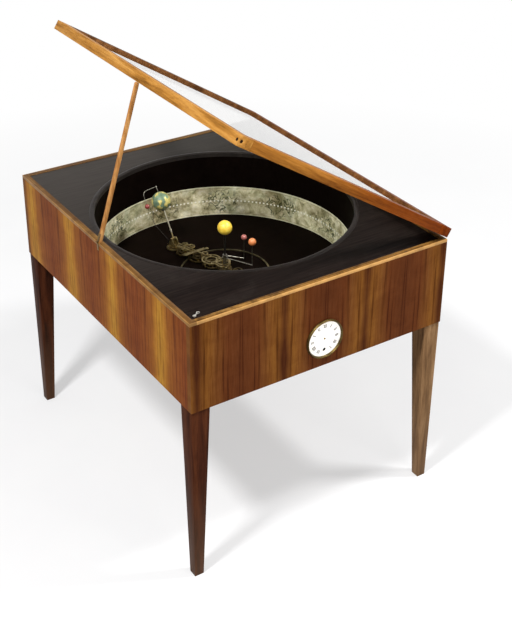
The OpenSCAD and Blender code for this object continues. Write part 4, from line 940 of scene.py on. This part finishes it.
# %% [markdown]
# Planed wood never has knife edges: every arris is eased with a scraper. Each wooden part already has
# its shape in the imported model, so a copy of its mesh is merged, its flat faces are joined, and the
# sharp edges are bevelled. The copy then stands in for the part.

# %% Eased arrises on the woodwork
MERGE_M = 0.01 * MM
FLAT_UP_TO = math.radians(0.5)
SHARP_FROM = math.radians(35)
EASED = [
    # part, body, width of the bevel in millimetres, slot
    ("leg_front_left", "case", 1.2, "dark_leg"),
    ("leg_front_right", "case", 1.2, "dark_leg"),
    ("leg_back_left", "case", 1.2, "dark_leg"),
    ("leg_back_right", "case", 1.2, "dark_leg"),
    ("lid_front_rail", "lid", 1.0, "honey_wood"),
    ("lid_back_rail", "lid", 1.0, "honey_wood"),
    ("lid_left_rail", "lid", 1.0, "honey_wood"),
    ("lid_right_rail", "lid", 1.0, "honey_wood"),
    ("rim_strips", "case", 0.8, "light_strip"),
    ("lid_prop", "prop", 0.8, "prop_wood"),
]
for name, body, width_mm, slot in EASED:
    source = frame["nodes"][name]
    shape = bmesh.new()
    shape.from_mesh(source.data)
    bmesh.ops.remove_doubles(shape, verts=shape.verts, dist=MERGE_M)
    bmesh.ops.dissolve_limit(shape, angle_limit=FLAT_UP_TO, verts=shape.verts, edges=shape.edges)
    sharp = [edge for edge in shape.edges
             if len(edge.link_faces) == 2 and edge.calc_face_angle() > SHARP_FROM]
    bmesh.ops.bevel(shape, geom=sharp, offset=width_mm * MM, offset_type="OFFSET", segments=2,
                    profile=0.5, affect="EDGES", clamp_overlap=True, material=-1)
    piece(name + "_eased", shape, body, source.material_slots[0].material, [name])

# %% [markdown]
# The prop's hinge leaf is held by two small countersunk screws with a filed slot. A screw head is a flat
# cone with a groove, so it is a cone from the operator with a thin bar of dark steel across it, as
# painted shade where the groove is.

# %% Screws on the prop's leaf
leaf_low, leaf_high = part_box("prop_case_leaf")
LEAF_T = 1.2 * MM
HEAD_R = 1.7 * MM
HEAD_H = 0.5 * MM
SLOT_DEEP = 0.1 * MM
SLOT_WIDE = 0.45 * MM
facing_left = Matrix.Rotation(-math.pi / 2, 4, "Y")
heads = bmesh.new()
slot_shade_bars = bmesh.new()
for share in (0.2, 0.6):
    spot = Vector((rim_low[0] - LEAF_T - HEAD_H / 2, (leaf_low[1] + leaf_high[1]) / 2,
                   leaf_low[2] + share * (leaf_high[2] - leaf_low[2])))
    bmesh.ops.create_cone(heads, cap_ends=True, segments=24, radius1=HEAD_R, radius2=HEAD_R * 0.8,
                          depth=HEAD_H, matrix=Matrix.Translation(spot) @ facing_left)
    bar(slot_shade_bars, (SLOT_DEEP, HEAD_R * 1.5, SLOT_WIDE), spot - Vector((HEAD_H / 2, 0, 0)),
        Matrix.Rotation(share * 2, 4, "X"))
piece("prop_leaf_screws", heads, "case", hinge_brass)
# Painted shade: a thin dark bar lies on each head where the slot's groove would be
piece("prop_leaf_screw_slot_shade", slot_shade_bars, "case", dark_steel)
print("the upper screw is at", [round(v, 4) for v in spot])
